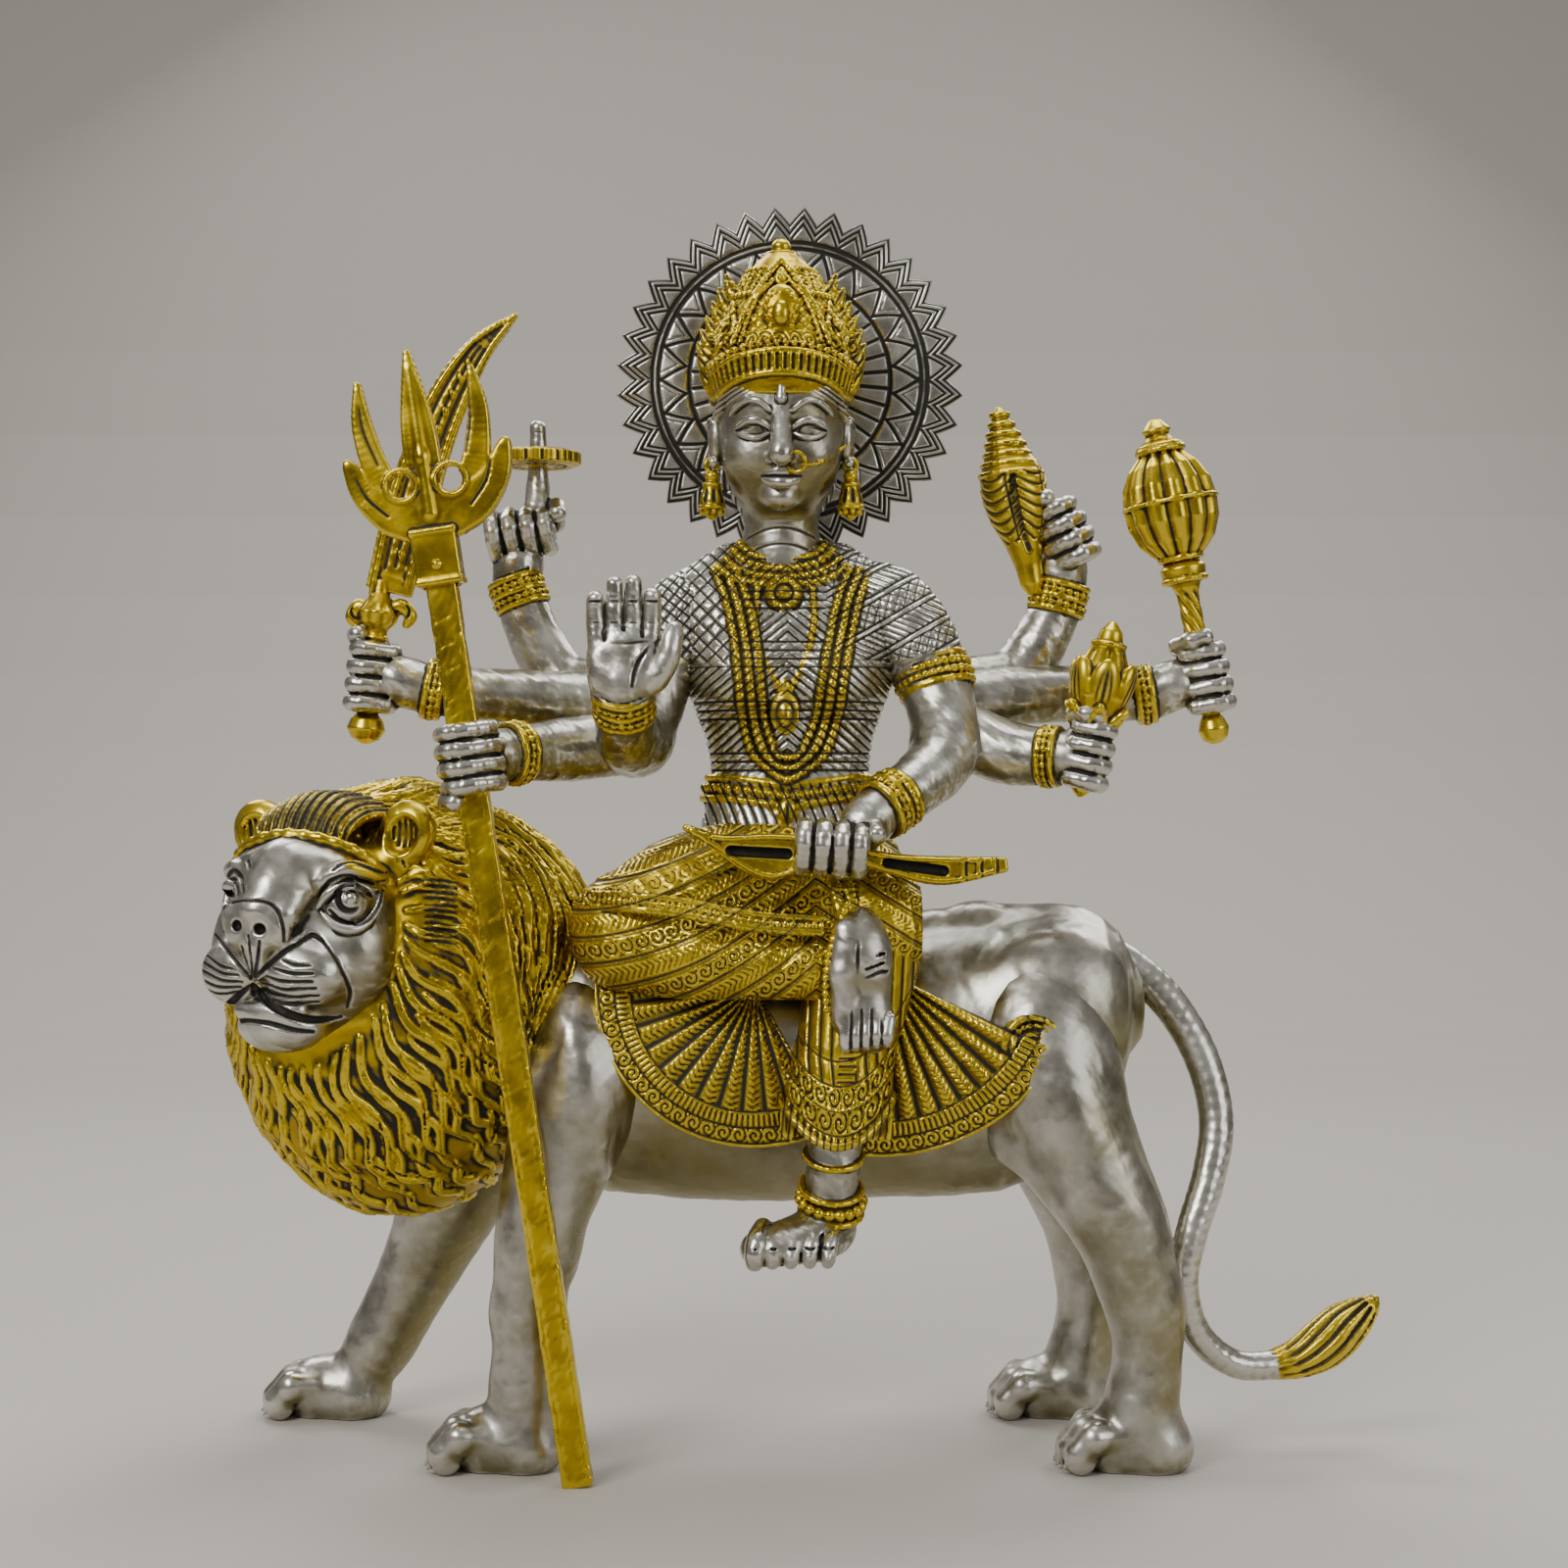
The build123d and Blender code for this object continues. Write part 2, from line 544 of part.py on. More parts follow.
near_shoulder = [(-84, near_leg_y + 17, 158, 27), (-97, near_leg_y + 7, 122, 21),
                 (-106, near_leg_y, 84, 15)]
with BuildPart() as lion_front_leg_near:
    add(limb(*near_shoulder, (-110, near_leg_y, 48, 12.5), (-112, near_leg_y, 12, 14)))
    add(paw(-97, near_leg_y))
    add(core(near_shoulder), mode=Mode.SUBTRACT)
    carve(lion_front_leg_near, skirt_fan_left)

far_shoulder = [(-130, far_leg_y - 16, 132, 25), (-150, far_leg_y - 6, 92, 20),
                (-166, far_leg_y, 58, 17)]
with BuildPart() as lion_front_leg_far:
    add(limb(*far_shoulder, (-184, far_leg_y, 22, 15)))
    add(paw(-179, far_leg_y))
    add(core(far_shoulder), mode=Mode.SUBTRACT)
    carve(lion_front_leg_far, lion_front_leg_near)
    Box(900, 900, 100, align=(Align.CENTER, Align.CENTER, Align.MAX), mode=Mode.SUBTRACT)

with BuildPart() as lion_head:
    add(ellipsoid(lion_head_centre, lion_head_radii, turn=face_turn))
    add(ellipsoid((-203, -52, 197), (26, 18, 20), turn=face_turn))
    add(ellipsoid((-201, -50, 177), (18, 17, 13), turn=face_turn))
    add(limb((-206, -16, 236, 12), (-219, 1, 253, 9), round_end=True))
    add(limb((-168, -38, 236, 12), (-153, -38, 252, 9), round_end=True))

cavity = tuple(radius - wall for radius in mane_radii)
with BuildPart() as lion_mane:
    add(ellipsoid(mane_centre, mane_radii))
    add(ellipsoid((-120, 6, 196), (44, 47, 62), tip=-12))
    add(ellipsoid(mane_centre, cavity), mode=Mode.SUBTRACT)
    with Locations(Plane(origin=(-150, 8, 165), z_dir=(1, 0, 0))):
        Cylinder(26, 70, align=(Align.CENTER, Align.CENTER, Align.MIN), mode=Mode.SUBTRACT)
    carve(lion_mane, lion_head, lion_front_leg_near, lion_front_leg_far, lap, skirt_fan_left)

belly_z = trunk_middle[1] - trunk_half_height
spot_z = belly_z + 2.0
with BuildPart() as lion_trunk:
    add(trunk_form)
    add(flank_shell(-wall), mode=Mode.SUBTRACT)
    with Locations((*bolt_at, 150)):
        Cylinder(bolt_radius + fit_gap, 200, mode=Mode.SUBTRACT)
    with Locations((*bolt_at, spot_z)):
        Cylinder(washer_radius + 1, 30, align=(Align.CENTER, Align.CENTER, Align.MAX), mode=Mode.SUBTRACT)
    carve(lion_trunk, lion_mane, lion_tail, lion_hind_leg_near, lion_hind_leg_far, lion_front_leg_near,
          lion_front_leg_far)

with BuildPart() as seat_washer:
    with Locations((*bolt_at, spot_z)):
        Cylinder(washer_radius, washer_thickness, align=(Align.CENTER, Align.CENTER, Align.MAX))
        Cylinder(bolt_radius + fit_gap, 10, mode=Mode.SUBTRACT)
finish(seat_washer, "seat_washer")

with BuildPart() as seat_bolt:
    with BuildSketch(Plane.XY.offset(spot_z - washer_thickness - bolt_head_height)):
        with Locations(bolt_at):
            RegularPolygon(bolt_head_radius, 6)
    extrude(amount=bolt_head_height)
    with Locations((*bolt_at, spot_z - washer_thickness)):
        Cylinder(bolt_radius, bolt_top - spot_z + washer_thickness - 1,
                 align=(Align.CENTER, Align.CENTER, Align.MIN))
finish(seat_bolt, "seat_bolt")

for piece, name in ((folded_foot, "folded_foot"), (lap, "lap_drape"), (goddess_torso, "goddess_torso"),
                    (hanging_gown, "hanging_gown"), (skirt_fan_left, "skirt_fan_left"),
                    (skirt_fan_right, "skirt_fan_right"), (lion_hind_leg_near, "lion_hind_leg_near"),
                    (lion_hind_leg_far, "lion_hind_leg_far"), (lion_front_leg_near, "lion_front_leg_near"),
                    (lion_front_leg_far, "lion_front_leg_far"), (lion_head, "lion_head"),
                    (lion_mane, "lion_mane"), (lion_trunk, "lion_trunk")):
    finish(piece, name)
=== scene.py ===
import math

import bpy
import numpy as np
import openvdb
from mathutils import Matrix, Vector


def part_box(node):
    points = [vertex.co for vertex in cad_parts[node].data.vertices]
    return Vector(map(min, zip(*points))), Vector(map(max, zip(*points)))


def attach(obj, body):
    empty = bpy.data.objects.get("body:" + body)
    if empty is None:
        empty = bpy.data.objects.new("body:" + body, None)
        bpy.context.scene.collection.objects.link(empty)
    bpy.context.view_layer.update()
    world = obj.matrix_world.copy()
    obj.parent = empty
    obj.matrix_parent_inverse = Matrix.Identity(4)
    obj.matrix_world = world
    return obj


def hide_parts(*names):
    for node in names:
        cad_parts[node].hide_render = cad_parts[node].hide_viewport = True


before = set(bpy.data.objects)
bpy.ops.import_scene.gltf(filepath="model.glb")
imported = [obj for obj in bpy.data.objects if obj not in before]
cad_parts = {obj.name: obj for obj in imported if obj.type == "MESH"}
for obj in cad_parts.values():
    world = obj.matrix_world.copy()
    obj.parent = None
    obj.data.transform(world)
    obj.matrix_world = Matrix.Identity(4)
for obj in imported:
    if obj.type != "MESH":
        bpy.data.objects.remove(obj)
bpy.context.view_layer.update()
rng = np.random.default_rng(11)
COARSE = 1.0
MM = 0.001
VIEWER = np.array([-8.4, -1000.0, 270.0])
SILVER, GOLD, PLAIN = "silver_brass", "gold_brass", "plain_brass"

# Everything below is sculpted in millimetres, in the CAD's frame, and scaled to metres when it is meshed.


# ---- sculpting ------------------------------------------------------------------------------------
def unit(v):
    v = np.array(v, float)
    return v / np.linalg.norm(v)


def smooth(points, count):
    """More stations along a Catmull-Rom curve through the given ones."""
    p = np.array(points, float)
    p = np.vstack([2 * p[0] - p[1], p, 2 * p[-1] - p[-2]])
    out = []
    for i in range(1, len(p) - 2):
        for t in np.linspace(0, 1, count, endpoint=False):
            a, b, c, d = p[i - 1:i + 3]
            out.append(0.5 * (2 * b + (c - a) * t + (2 * a - 5 * b + 4 * c - d) * t**2
                              + (3 * b - a - 3 * c + d) * t**3))
    return np.array(out + [p[-2]])


def noise(p, size, seed=0):
    """Cheap smooth noise, about -1 to 1, with lumps of the given size."""
    q = np.asarray(p) / size
    total = 0.0
    for k in range(4):
        a, b, c, s = np.random.default_rng(seed * 17 + k).uniform(-1, 1, 4)
        w = unit((a, b, c)) * (1.7 + k * 0.6)
        total = total + np.sin(q[:, 0] * w[0] * 2.1 + q[:, 1] * w[1] * 2.3 + q[:, 2] * w[2] * 1.9 + s * 9
                               + total)
    return total / 3.2


def groove(value, width=0.25):
    """1 in a line at each whole number of value, 0 away from it; width is the part of a period it takes."""
    away = np.abs(value - np.round(value)) / width
    return np.clip(1 - away, 0, 1) ** 0.8


def axes_of(turn=0.0, tip=0.0, roll=0.0):
    """Rows are a local frame's axes after a roll about X, a tip about Y and a turn about Z, in degrees."""
    a, b, c = (math.radians(v) for v in (turn, tip, roll))
    rz = np.array([[math.cos(a), -math.sin(a), 0], [math.sin(a), math.cos(a), 0], [0, 0, 1]])
    ry = np.array([[math.cos(b), 0, math.sin(b)], [0, 1, 0], [-math.sin(b), 0, math.cos(b)]])
    rx = np.array([[1, 0, 0], [0, math.cos(c), -math.sin(c)], [0, math.sin(c), math.cos(c)]])
    return (rz @ ry @ rx).T


class Clay:
    """A lump of clay: a signed distance field on a grid, with painted distances beside it."""

    def __init__(self, low, high, step):
        self.step = step * COARSE
        self.low = np.array(low, float)
        count = np.ceil((np.array(high, float) - self.low) / self.step).astype(int) + 1
        self.axes = [(self.low[i] + self.step * np.arange(count[i])).astype(np.float32) for i in range(3)]
        self.d = np.full(count, 20.0, np.float32)
        self.paint = {}
        self.dirt = 1.0

    def blend(self, low, high, field, soft=0.0, cut=False, paint=None):
        w = []
        for i in range(3):
            a = math.floor((low[i] - soft - 4 - self.low[i]) / self.step)
            b = math.ceil((high[i] + soft + 4 - self.low[i]) / self.step) + 1
            a, b = max(0, a), min(len(self.axes[i]), b)
            if b <= a:
                return
            w.append(slice(a, b))
        w = tuple(w)
        x, y, z = (self.axes[0][w[0]][:, None, None], self.axes[1][w[1]][None, :, None],
                   self.axes[2][w[2]][None, None, :])
        new = field(x, y, z)
        old = self.d[w]
        sign = -1 if cut else 1
        if soft > 0:
            a, b = old * sign, new
            h = np.clip(0.5 + 0.5 * (a - b) / soft, 0, 1)
            self.d[w] = sign * (a * (1 - h) + b * h - soft * h * (1 - h))
        else:
            self.d[w] = sign * np.minimum(old * sign, new)
        if paint:
            if paint not in self.paint:
                self.paint[paint] = np.full(self.d.shape, 9.0, np.float32)
            self.paint[paint][w] = np.minimum(self.paint[paint][w], new)

    def egg(self, centre, radii, soft=0.0, cut=False, paint=None, axes=None):
        c = np.array(centre, float)
        r = np.array(radii if np.ndim(radii) else [radii] * 3, float)
        m = np.eye(3) if axes is None else axes

        def field(x, y, z):
            x, y, z = x - c[0], y - c[1], z - c[2]
            u = [(x * m[i, 0] + y * m[i, 1] + z * m[i, 2]) / r[i] for i in range(3)]
            k0 = np.sqrt(u[0]**2 + u[1]**2 + u[2]**2) + 1e-6
            k1 = np.sqrt((u[0] / r[0])**2 + (u[1] / r[1])**2 + (u[2] / r[2])**2) + 1e-6
            return k0 * (k0 - 1) / k1

        reach = np.abs(m.T * r).max(axis=1) if axes is None else np.full(3, r.max())
        self.blend(c - reach, c + reach, field, soft, cut, paint)

    def rope(self, stations, soft=0.0, cut=False, paint=None, turns=0):
        """A chain of cones with round ends through (x, y, z, radius) stations."""
        s = np.array(stations, float)
        if turns:
            s = smooth(s, turns)
        for a, b in zip(s[:-1], s[1:]):
            p, v = a[:3], b[:3] - a[:3]
            size = max(float(v @ v), 1e-9)
            ra, rb = a[3], b[3]

            def field(x, y, z):
                x, y, z = x - p[0], y - p[1], z - p[2]
                t = np.clip((x * v[0] + y * v[1] + z * v[2]) / size, 0, 1)
                return np.sqrt((x - t * v[0])**2 + (y - t * v[1])**2
                               + (z - t * v[2])**2) - (ra + t * (rb - ra))

            r = max(ra, rb)
            self.blend(np.minimum(p, b[:3]) - r, np.maximum(p, b[:3]) + r, field, soft, cut, paint)

    def score(self, stations, soft=0.0, turns=0):
        """A dark engraved line along the stations."""
        self.rope(stations, soft, True, "ink", turns)

    def slab(self, centre, half, edge=1.0, soft=0.0, cut=False, paint=None, axes=None):
        c = np.array(centre, float)
        h = np.array(half, float) - edge
        m = np.eye(3) if axes is None else axes

        def field(x, y, z):
            x, y, z = x - c[0], y - c[1], z - c[2]
            q = [np.abs(x * m[i, 0] + y * m[i, 1] + z * m[i, 2]) - h[i] for i in range(3)]
            out = np.sqrt(sum(np.maximum(v, 0)**2 for v in q))
            return out + np.minimum(np.maximum(np.maximum(q[0], q[1]), q[2]), 0) - edge

        reach = np.full(3, np.linalg.norm(half)) if axes is not None else np.array(half, float)
        self.blend(c - reach, c + reach, field, soft, cut, paint)

    def ring(self, centre, axis, radius, thick, soft=0.3, paint="gold", beads=0, cut=False, oval=1.0,
             side=None):
        """A ring, or with beads a ring of balls, around an axis."""
        n = unit(axis)
        a = unit(np.cross(n, (0.13, 0.2, 1) if abs(n[2]) < 0.9
                          else (1, 0.1, 0))) if side is None else unit(side)
        b = np.cross(n, a)
        c = np.array(centre, float)
        if beads:
            for t in np.linspace(0, 2 * math.pi, beads, endpoint=False):
                self.egg(c + radius * (math.cos(t) * a + oval * math.sin(t) * b), thick, soft, cut, paint)
            return
        rows = [[*(c + radius * (math.cos(t) * a + oval * math.sin(t) * b)), thick]
                for t in np.linspace(0, 2 * math.pi, 25)]
        self.rope(rows, soft, cut, paint)

    def flat(self, axis, value, above=True):
        """Cuts off everything above (or below) a level."""
        shape = [1, 1, 1]
        shape[axis] = -1
        plane = (self.axes[axis] - value).reshape(shape)
        self.d = np.maximum(self.d, plane if above else -plane).astype(np.float32)

    def relief(self, height, reach=3.5):
        """Adds a height, in mm, given at points near the surface."""
        for part in np.array_split(np.argwhere(np.abs(self.d) < reach), 1 + self.d.size // 6000000):
            i = tuple(part.T)
            points = np.stack([self.axes[k][i[k]] for k in range(3)], 1)
            self.d[i] -= height(points).astype(np.float32)

    def sample(self, array, points):
        q = (points - self.low) / self.step
        i = np.clip(np.floor(q).astype(int), 0, np.array(array.shape) - 2)
        f = q - i
        out = 0.0
        for corner in range(8):
            o = np.array([corner & 1, corner >> 1 & 1, corner >> 2 & 1])
            weight = np.prod(np.where(o, f, 1 - f), axis=1)
            out = out + weight * array[tuple((i + o).T)]
        return out

    def cast(self, name, slot, nodes=(), gold=None, dark=None, body="statue"):
        """Meshes the clay as a piece that stands for the given CAD nodes."""
        self.d[0], self.d[-1] = 5, 5
        self.d[:, 0], self.d[:, -1] = 5, 5
        self.d[:, :, 0], self.d[:, :, -1] = 5, 5
        grid = openvdb.FloatGrid(20.0)
        grid.copyFromArray(self.d, tolerance=0.0)
        points, quads = grid.convertToQuads(isovalue=0.0)
        points = points.astype(float) * self.step + self.low
        quads = quads.astype(int)
        a, b, c = (points[quads[:, k]] for k in (0, 1, 2))
        if np.einsum("ij,ij->i", a, np.cross(b, c)).sum() < 0:
            quads = quads[:, ::-1]
        marks = {"gold": np.full(len(points), 1.0 if slot == GOLD else 0.0)}
        if "gold" in self.paint:
            marks["gold"] = np.maximum(marks["gold"], self.sample(self.paint["gold"], points) < 0.35)
        if "silver" in self.paint:
            marks["gold"] = marks["gold"] * (self.sample(self.paint["silver"], points) > 0.35)
        if gold is not None:
            marks["gold"] = np.clip(gold(points), 0, 1)
        marks["dark"] = np.zeros(len(points))
        if "ink" in self.paint:
            marks["dark"] = np.clip(0.75 - self.sample(self.paint["ink"], points) / 0.9, 0, 1)
        if dark is not None:
            marks["dark"] = np.maximum(marks["dark"], np.clip(dark(points), 0, 1))
        return build(name, points, quads, slot, nodes, marks, body, self.dirt)


def build(name, points, quads, slot, nodes, marks, body, dirt=1.0):
    """Makes the mesh object, and works out how hollow the surface is at each vertex."""
    mesh = bpy.data.meshes.new(name)
    mesh.from_pydata((points * MM).tolist(), [], quads.tolist(), shade_flat=False)
    count = len(mesh.vertices)
    normal = np.zeros(count * 3)
    mesh.vertices.foreach_get("normal", normal)
    normal = normal.reshape(-1, 3)
    one = np.concatenate([quads[:, k] for k in range(4)])
    two = np.concatenate([quads[:, (k + 1) % 4] for k in range(4)])
    ends = np.concatenate([one, two])
    starts = np.concatenate([two, one])
    share = 1 / np.maximum(np.bincount(ends, minlength=count), 1)
    place = points.copy()
    hollow = np.zeros(count)
    for rounds, weight in ((2, 1.0), (6, 0.6), (18, 0.35)):
        for _ in range(rounds):
            place = np.stack([np.bincount(ends, place[starts, k], count) * share for k in range(3)], 1)
        hollow += weight * np.einsum("ij,ij->i", place - points, normal)
    marks["hollow"] = np.clip(0.5 + 0.9 * dirt * hollow, 0, 1)
    for key, values in marks.items():
        mesh.attributes.new(key, "FLOAT", "POINT").data.foreach_set("value", np.asarray(values, float))
    piece = bpy.data.objects.new(name, mesh)
    bpy.context.collection.objects.link(piece)
    mesh.materials.append(METALS[slot])
    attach(piece, body)
    if nodes:
        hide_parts(*([nodes] if isinstance(nodes, str) else nodes))
    return piece


# ---- metal ----------------------------------------------------------------------------------------
def metal(name):
    """Two-tone cast metal: burnished high spots, painted warm shade on surfaces that face down or towards +X,
    black patina in the hollows.
    """
    mat = bpy.data.materials.new(name)
    mat.use_nodes = True
    tree = mat.node_tree
    nodes, links = tree.nodes, tree.links
    shader = nodes["Principled BSDF"]

    def value(kind, operation, a, b=None, **more):
        node = nodes.new(kind)
        if operation:
            node.operation = operation
        for k, v in enumerate((a, b)):
            if v is None:
                continue
            if hasattr(v, "is_linked"):
                links.new(v, node.inputs[k])
            else:
                node.inputs[k].default_value = v
        for k, v in more.items():
            setattr(node, k, v)
        return node.outputs[0]

    def ramp(source, low, high, start=0.0, end=1.0):
        node = nodes.new("ShaderNodeMapRange")
        node.interpolation_type = "SMOOTHSTEP"
        links.new(source, node.inputs[0])
        for k, v in enumerate((low, high, start, end)):
            node.inputs[k + 1].default_value = v
        return node.outputs[0]

    def mix(amount, a, b):
        node = nodes.new("ShaderNodeMix")
        node.data_type = "RGBA"
        for k, v in ((0, amount), (6, a), (7, b)):
            if hasattr(v, "is_linked"):
                links.new(v, node.inputs[k])
            else:
                node.inputs[k].default_value = v
        return node.outputs[2]

    def mark(key):
        node = nodes.new("ShaderNodeAttribute")
        node.attribute_name = key
        return node.outputs["Fac"]

    where = nodes.new("ShaderNodeTexCoord").outputs["Object"]

    def lumps(scale, detail=3.0, rough=0.55):
        node = nodes.new("ShaderNodeTexNoise")
        node.inputs["Scale"].default_value = scale
        node.inputs["Detail"].default_value = detail
        node.inputs["Roughness"].default_value = rough
        links.new(where, node.inputs["Vector"])
        return node.outputs["Fac"]

    def math_(operation, a, b):
        return value("ShaderNodeMath", operation, a, b)

    split = nodes.new("ShaderNodeSeparateXYZ")
    links.new(nodes.new("ShaderNodeNewGeometry").outputs["Normal"], split.inputs[0])
    up = split.outputs[2]
    large, middle, fine = lumps(14), lumps(75, 5.0), lumps(520, 4.0, 0.65)

    # Painted shade: surfaces that face down, and those facing +X away from the key lamp, are mixed towards a
    # darker warm colour, broken up by large noise.
    lean = math_("ADD", math_("MULTIPLY", up, -0.7), math_("MULTIPLY", split.outputs[0], 0.3))
    under = ramp(math_("ADD", lean, math_("MULTIPLY", large, 1.3)), 0.5, 1.15)
    silver = mix(ramp(middle, 0.32, 0.7), (0.36, 0.345, 0.29, 1), (0.56, 0.545, 0.49, 1))
    # Painted shade colours: dark olive for the silver, dark brass for the gold.
    silver = mix(math_("MULTIPLY", under, 0.8), silver, (0.20, 0.165, 0.03, 1))
    gold = mix(ramp(middle, 0.3, 0.72), (0.40, 0.265, 0.006, 1), (0.66, 0.47, 0.018, 1))
    gold = mix(math_("MULTIPLY", under, 0.5), gold, (0.27, 0.165, 0.004, 1))
    tone = mix(mark("gold"), silver, gold)

    hollow = mark("hollow")
    soot = math_("ADD", hollow, math_("MULTIPLY", math_("SUBTRACT", middle, 0.5), 0.22))
    soot = ramp(soot, 0.57, 0.82)
    dark = math_("MAXIMUM", soot, ramp(mark("dark"), 0.15, 0.75))
    speck = ramp(fine, 0.62, 0.74, 0.0, 0.35)
    dark = math_("MAXIMUM", dark, math_("MULTIPLY", speck, ramp(hollow, 0.45, 0.62)))
    bright = ramp(hollow, 0.47, 0.30)
    tone = mix(math_("MULTIPLY", bright, 0.5), tone,
               mix(mark("gold"), (0.86, 0.85, 0.80, 1), (0.92, 0.72, 0.07, 1)))
    tone = mix(dark, tone, (0.016, 0.014, 0.010, 1))
    links.new(tone, shader.inputs["Base Color"])

    links.new(ramp(dark, 0.0, 1.0, 1.0, 0.35), shader.inputs["Metallic"])
    rough = math_("ADD", ramp(middle, 0.3, 0.75, 0.27, 0.42), math_("MULTIPLY", dark, 0.28))
    links.new(math_("SUBTRACT", rough, math_("MULTIPLY", bright, 0.07)), shader.inputs["Roughness"])

    bump = nodes.new("ShaderNodeBump")
    bump.inputs["Strength"].default_value = 0.16
    bump.inputs["Distance"].default_value = 0.0006
    links.new(math_("ADD", math_("MULTIPLY", fine, 0.5), middle), bump.inputs["Height"])
    links.new(bump.outputs["Normal"], shader.inputs["Normal"])
    return mat


METALS = {slot: metal(slot) for slot in (SILVER, GOLD, PLAIN)}

# ---- camera, light and floor ------------------------------------------------------------------------
camera = bpy.data.objects.new("camera", bpy.data.cameras.new("camera"))
camera.location = VIEWER * MM
camera.rotation_euler = (math.radians(90), 0, 0)
camera.data.lens = 56.25
camera.data.sensor_width = 36
bpy.context.collection.objects.link(camera)
bpy.context.scene.camera = camera


def lamp(name, place, aim, size, power, colour=(1, 1, 1)):
    data = bpy.data.lights.new(name, "AREA")
    data.energy, data.size, data.color = power, size, colour
    light = bpy.data.objects.new(name, data)
    light.location = place
    way = np.array(aim, float) - np.array(place, float)
    light.rotation_euler = (math.atan2(math.hypot(way[0], way[1]), -way[2]), 0,
                            math.atan2(way[1], way[0]) - math.pi / 2)
    bpy.context.collection.objects.link(light)


lamp("key", (-0.9, -1.3, 1.25), (0, 0, 0.25), 0.7, 17, (1, 0.98, 0.95))
lamp("fill", (1.3, -1.0, 0.7), (0, 0, 0.25), 0.9, 6)
lamp("top", (0.1, 0.15, 1.5), (0, 0, 0.2), 0.8, 9)
lamp("back", (-0.9, 1.3, 1.7), (0, 0, 0.25), 0.9, 15)
lamp("back_fill", (1.0, 1.3, 1.6), (0, 0, 0.25), 0.9, 12)


def make_world():
    """A soft grey surround, darker below."""
    world = bpy.data.worlds.new("studio")
    bpy.context.scene.world = world
    world.use_nodes = True
    tree = world.node_tree
    look = tree.nodes.new("ShaderNodeTexCoord")
    split = tree.nodes.new("ShaderNodeSeparateXYZ")
    fade = tree.nodes.new("ShaderNodeValToRGB")
    fade.color_ramp.elements[0].position = 0.40
    fade.color_ramp.elements[0].color = (0.10, 0.085, 0.07, 1)
    fade.color_ramp.elements[1].position = 0.75
    fade.color_ramp.elements[1].color = (0.62, 0.60, 0.57, 1)
    scale_up = tree.nodes.new("ShaderNodeMapRange")
    scale_up.inputs[1].default_value = -1
    tree.links.new(look.outputs["Generated"], split.inputs[0])
    tree.links.new(split.outputs[2], scale_up.inputs[0])
    tree.links.new(scale_up.outputs[0], fade.inputs[0])
    tree.links.new(fade.outputs[0], tree.nodes["Background"].inputs["Color"])
    tree.nodes["Background"].inputs["Strength"].default_value = 0.55


def make_floor():
    """A pale floor that curves up into a backdrop."""
    mesh = bpy.data.meshes.new("floor")
    rows = [(-4, -1.6, 0), (4, -1.6, 0), (4, 1.2, 0), (-4, 1.2, 0)]
    for k in range(1, 13):
        t = k / 12 * math.pi / 2
        rows += [(side, 1.2 + 0.8 * math.sin(t), 0.8 - 0.8 * math.cos(t)) for side in (-4, 4)]
    rows += [(-4, 2.0, 4.4), (4, 2.0, 4.4)]
    faces = [(0, 1, 2, 3), (3, 2, 5, 4)] + [(2 * k, 2 * k + 1, 2 * k + 3, 2 * k + 2) for k in range(2, 14)]
    mesh.from_pydata(rows, [], faces)
    floor = bpy.data.objects.new("floor", mesh)
    bpy.context.collection.objects.link(floor)
    pale = bpy.data.materials.new("pale_floor")
    pale.use_nodes = True
    pale.node_tree.nodes["Principled BSDF"].inputs["Base Color"].default_value = (0.55, 0.52, 0.48, 1)
    pale.node_tree.nodes["Principled BSDF"].inputs["Roughness"].default_value = 0.7
    mesh.materials.append(pale)


make_world()
make_floor()


# ---- the lion ---------------------------------------------------------------------------------------
def body_of(points, x_at, half_y, half_z, mid_z, mid_y):
    """Distance-like value to an elliptic body along X, from tables of its sizes at stations."""
    x, y, z = points
    hy, hz, mz = (np.interp(x, x_at, t).astype(np.float32) for t in (half_y, half_z, mid_z))
    ends = np.maximum(np.maximum(x_at[0] - x, x - x_at[-1]), 0)
    r = np.sqrt(((y - mid_y) / hy)**2 + ((z - mz) / hz)**2)
    return (r - 1) * np.minimum(hy, hz) + ends


def trunk_field(x, y, z):
    at = [-118, -105, -80, -50, -30, 0, 30, 60, 80, 100, 112, 122, 129, 133]
    return body_of((x, y, z), at, [30, 38, 42, 42.5, 42.5, 42, 41.5, 42, 42, 41, 37, 32, 25, 16],
                   [44, 50, 57, 57, 56, 55, 54.5, 56, 57, 54, 49, 42, 33, 22],
                   [166, 163, 160, 157, 155, 154, 155, 157, 160, 165, 169, 173, 177, 180], 8)


def make_trunk():
    clay = Clay((-124, -46, 88), (142, 58, 230), 1.05)
    clay.blend((-120, -36, 92), (134, 52, 226), trunk_field)
    for side, y in ((-1, -17), (1, 33)):
        clay.egg((100, y, 178), (30, 17, 32), soft=14)
        clay.egg((-88, y - side * 2, 160), (24, 17, 36), soft=14)
    clay.rope([(-60, 8, 212, 6), (10, 8, 209, 5), (70, 8, 213, 6), (110, 8, 209, 8)], soft=10)
    clay.rope([(10, 44, 128, 3), (50, 42, 108, 3), (84, 30, 112, 3)], soft=9, cut=True)
    clay.rope([(45, -32, 122, 2.5), (74, -28, 112, 2.5)], soft=8, cut=True)
    clay.relief(lambda p: 0.2 * noise(p, 16, 3) + 0.08 * noise(p, 5, 5))
    clay.dirt = 0.3
    clay.cast("lion_body", SILVER, "lion_trunk")


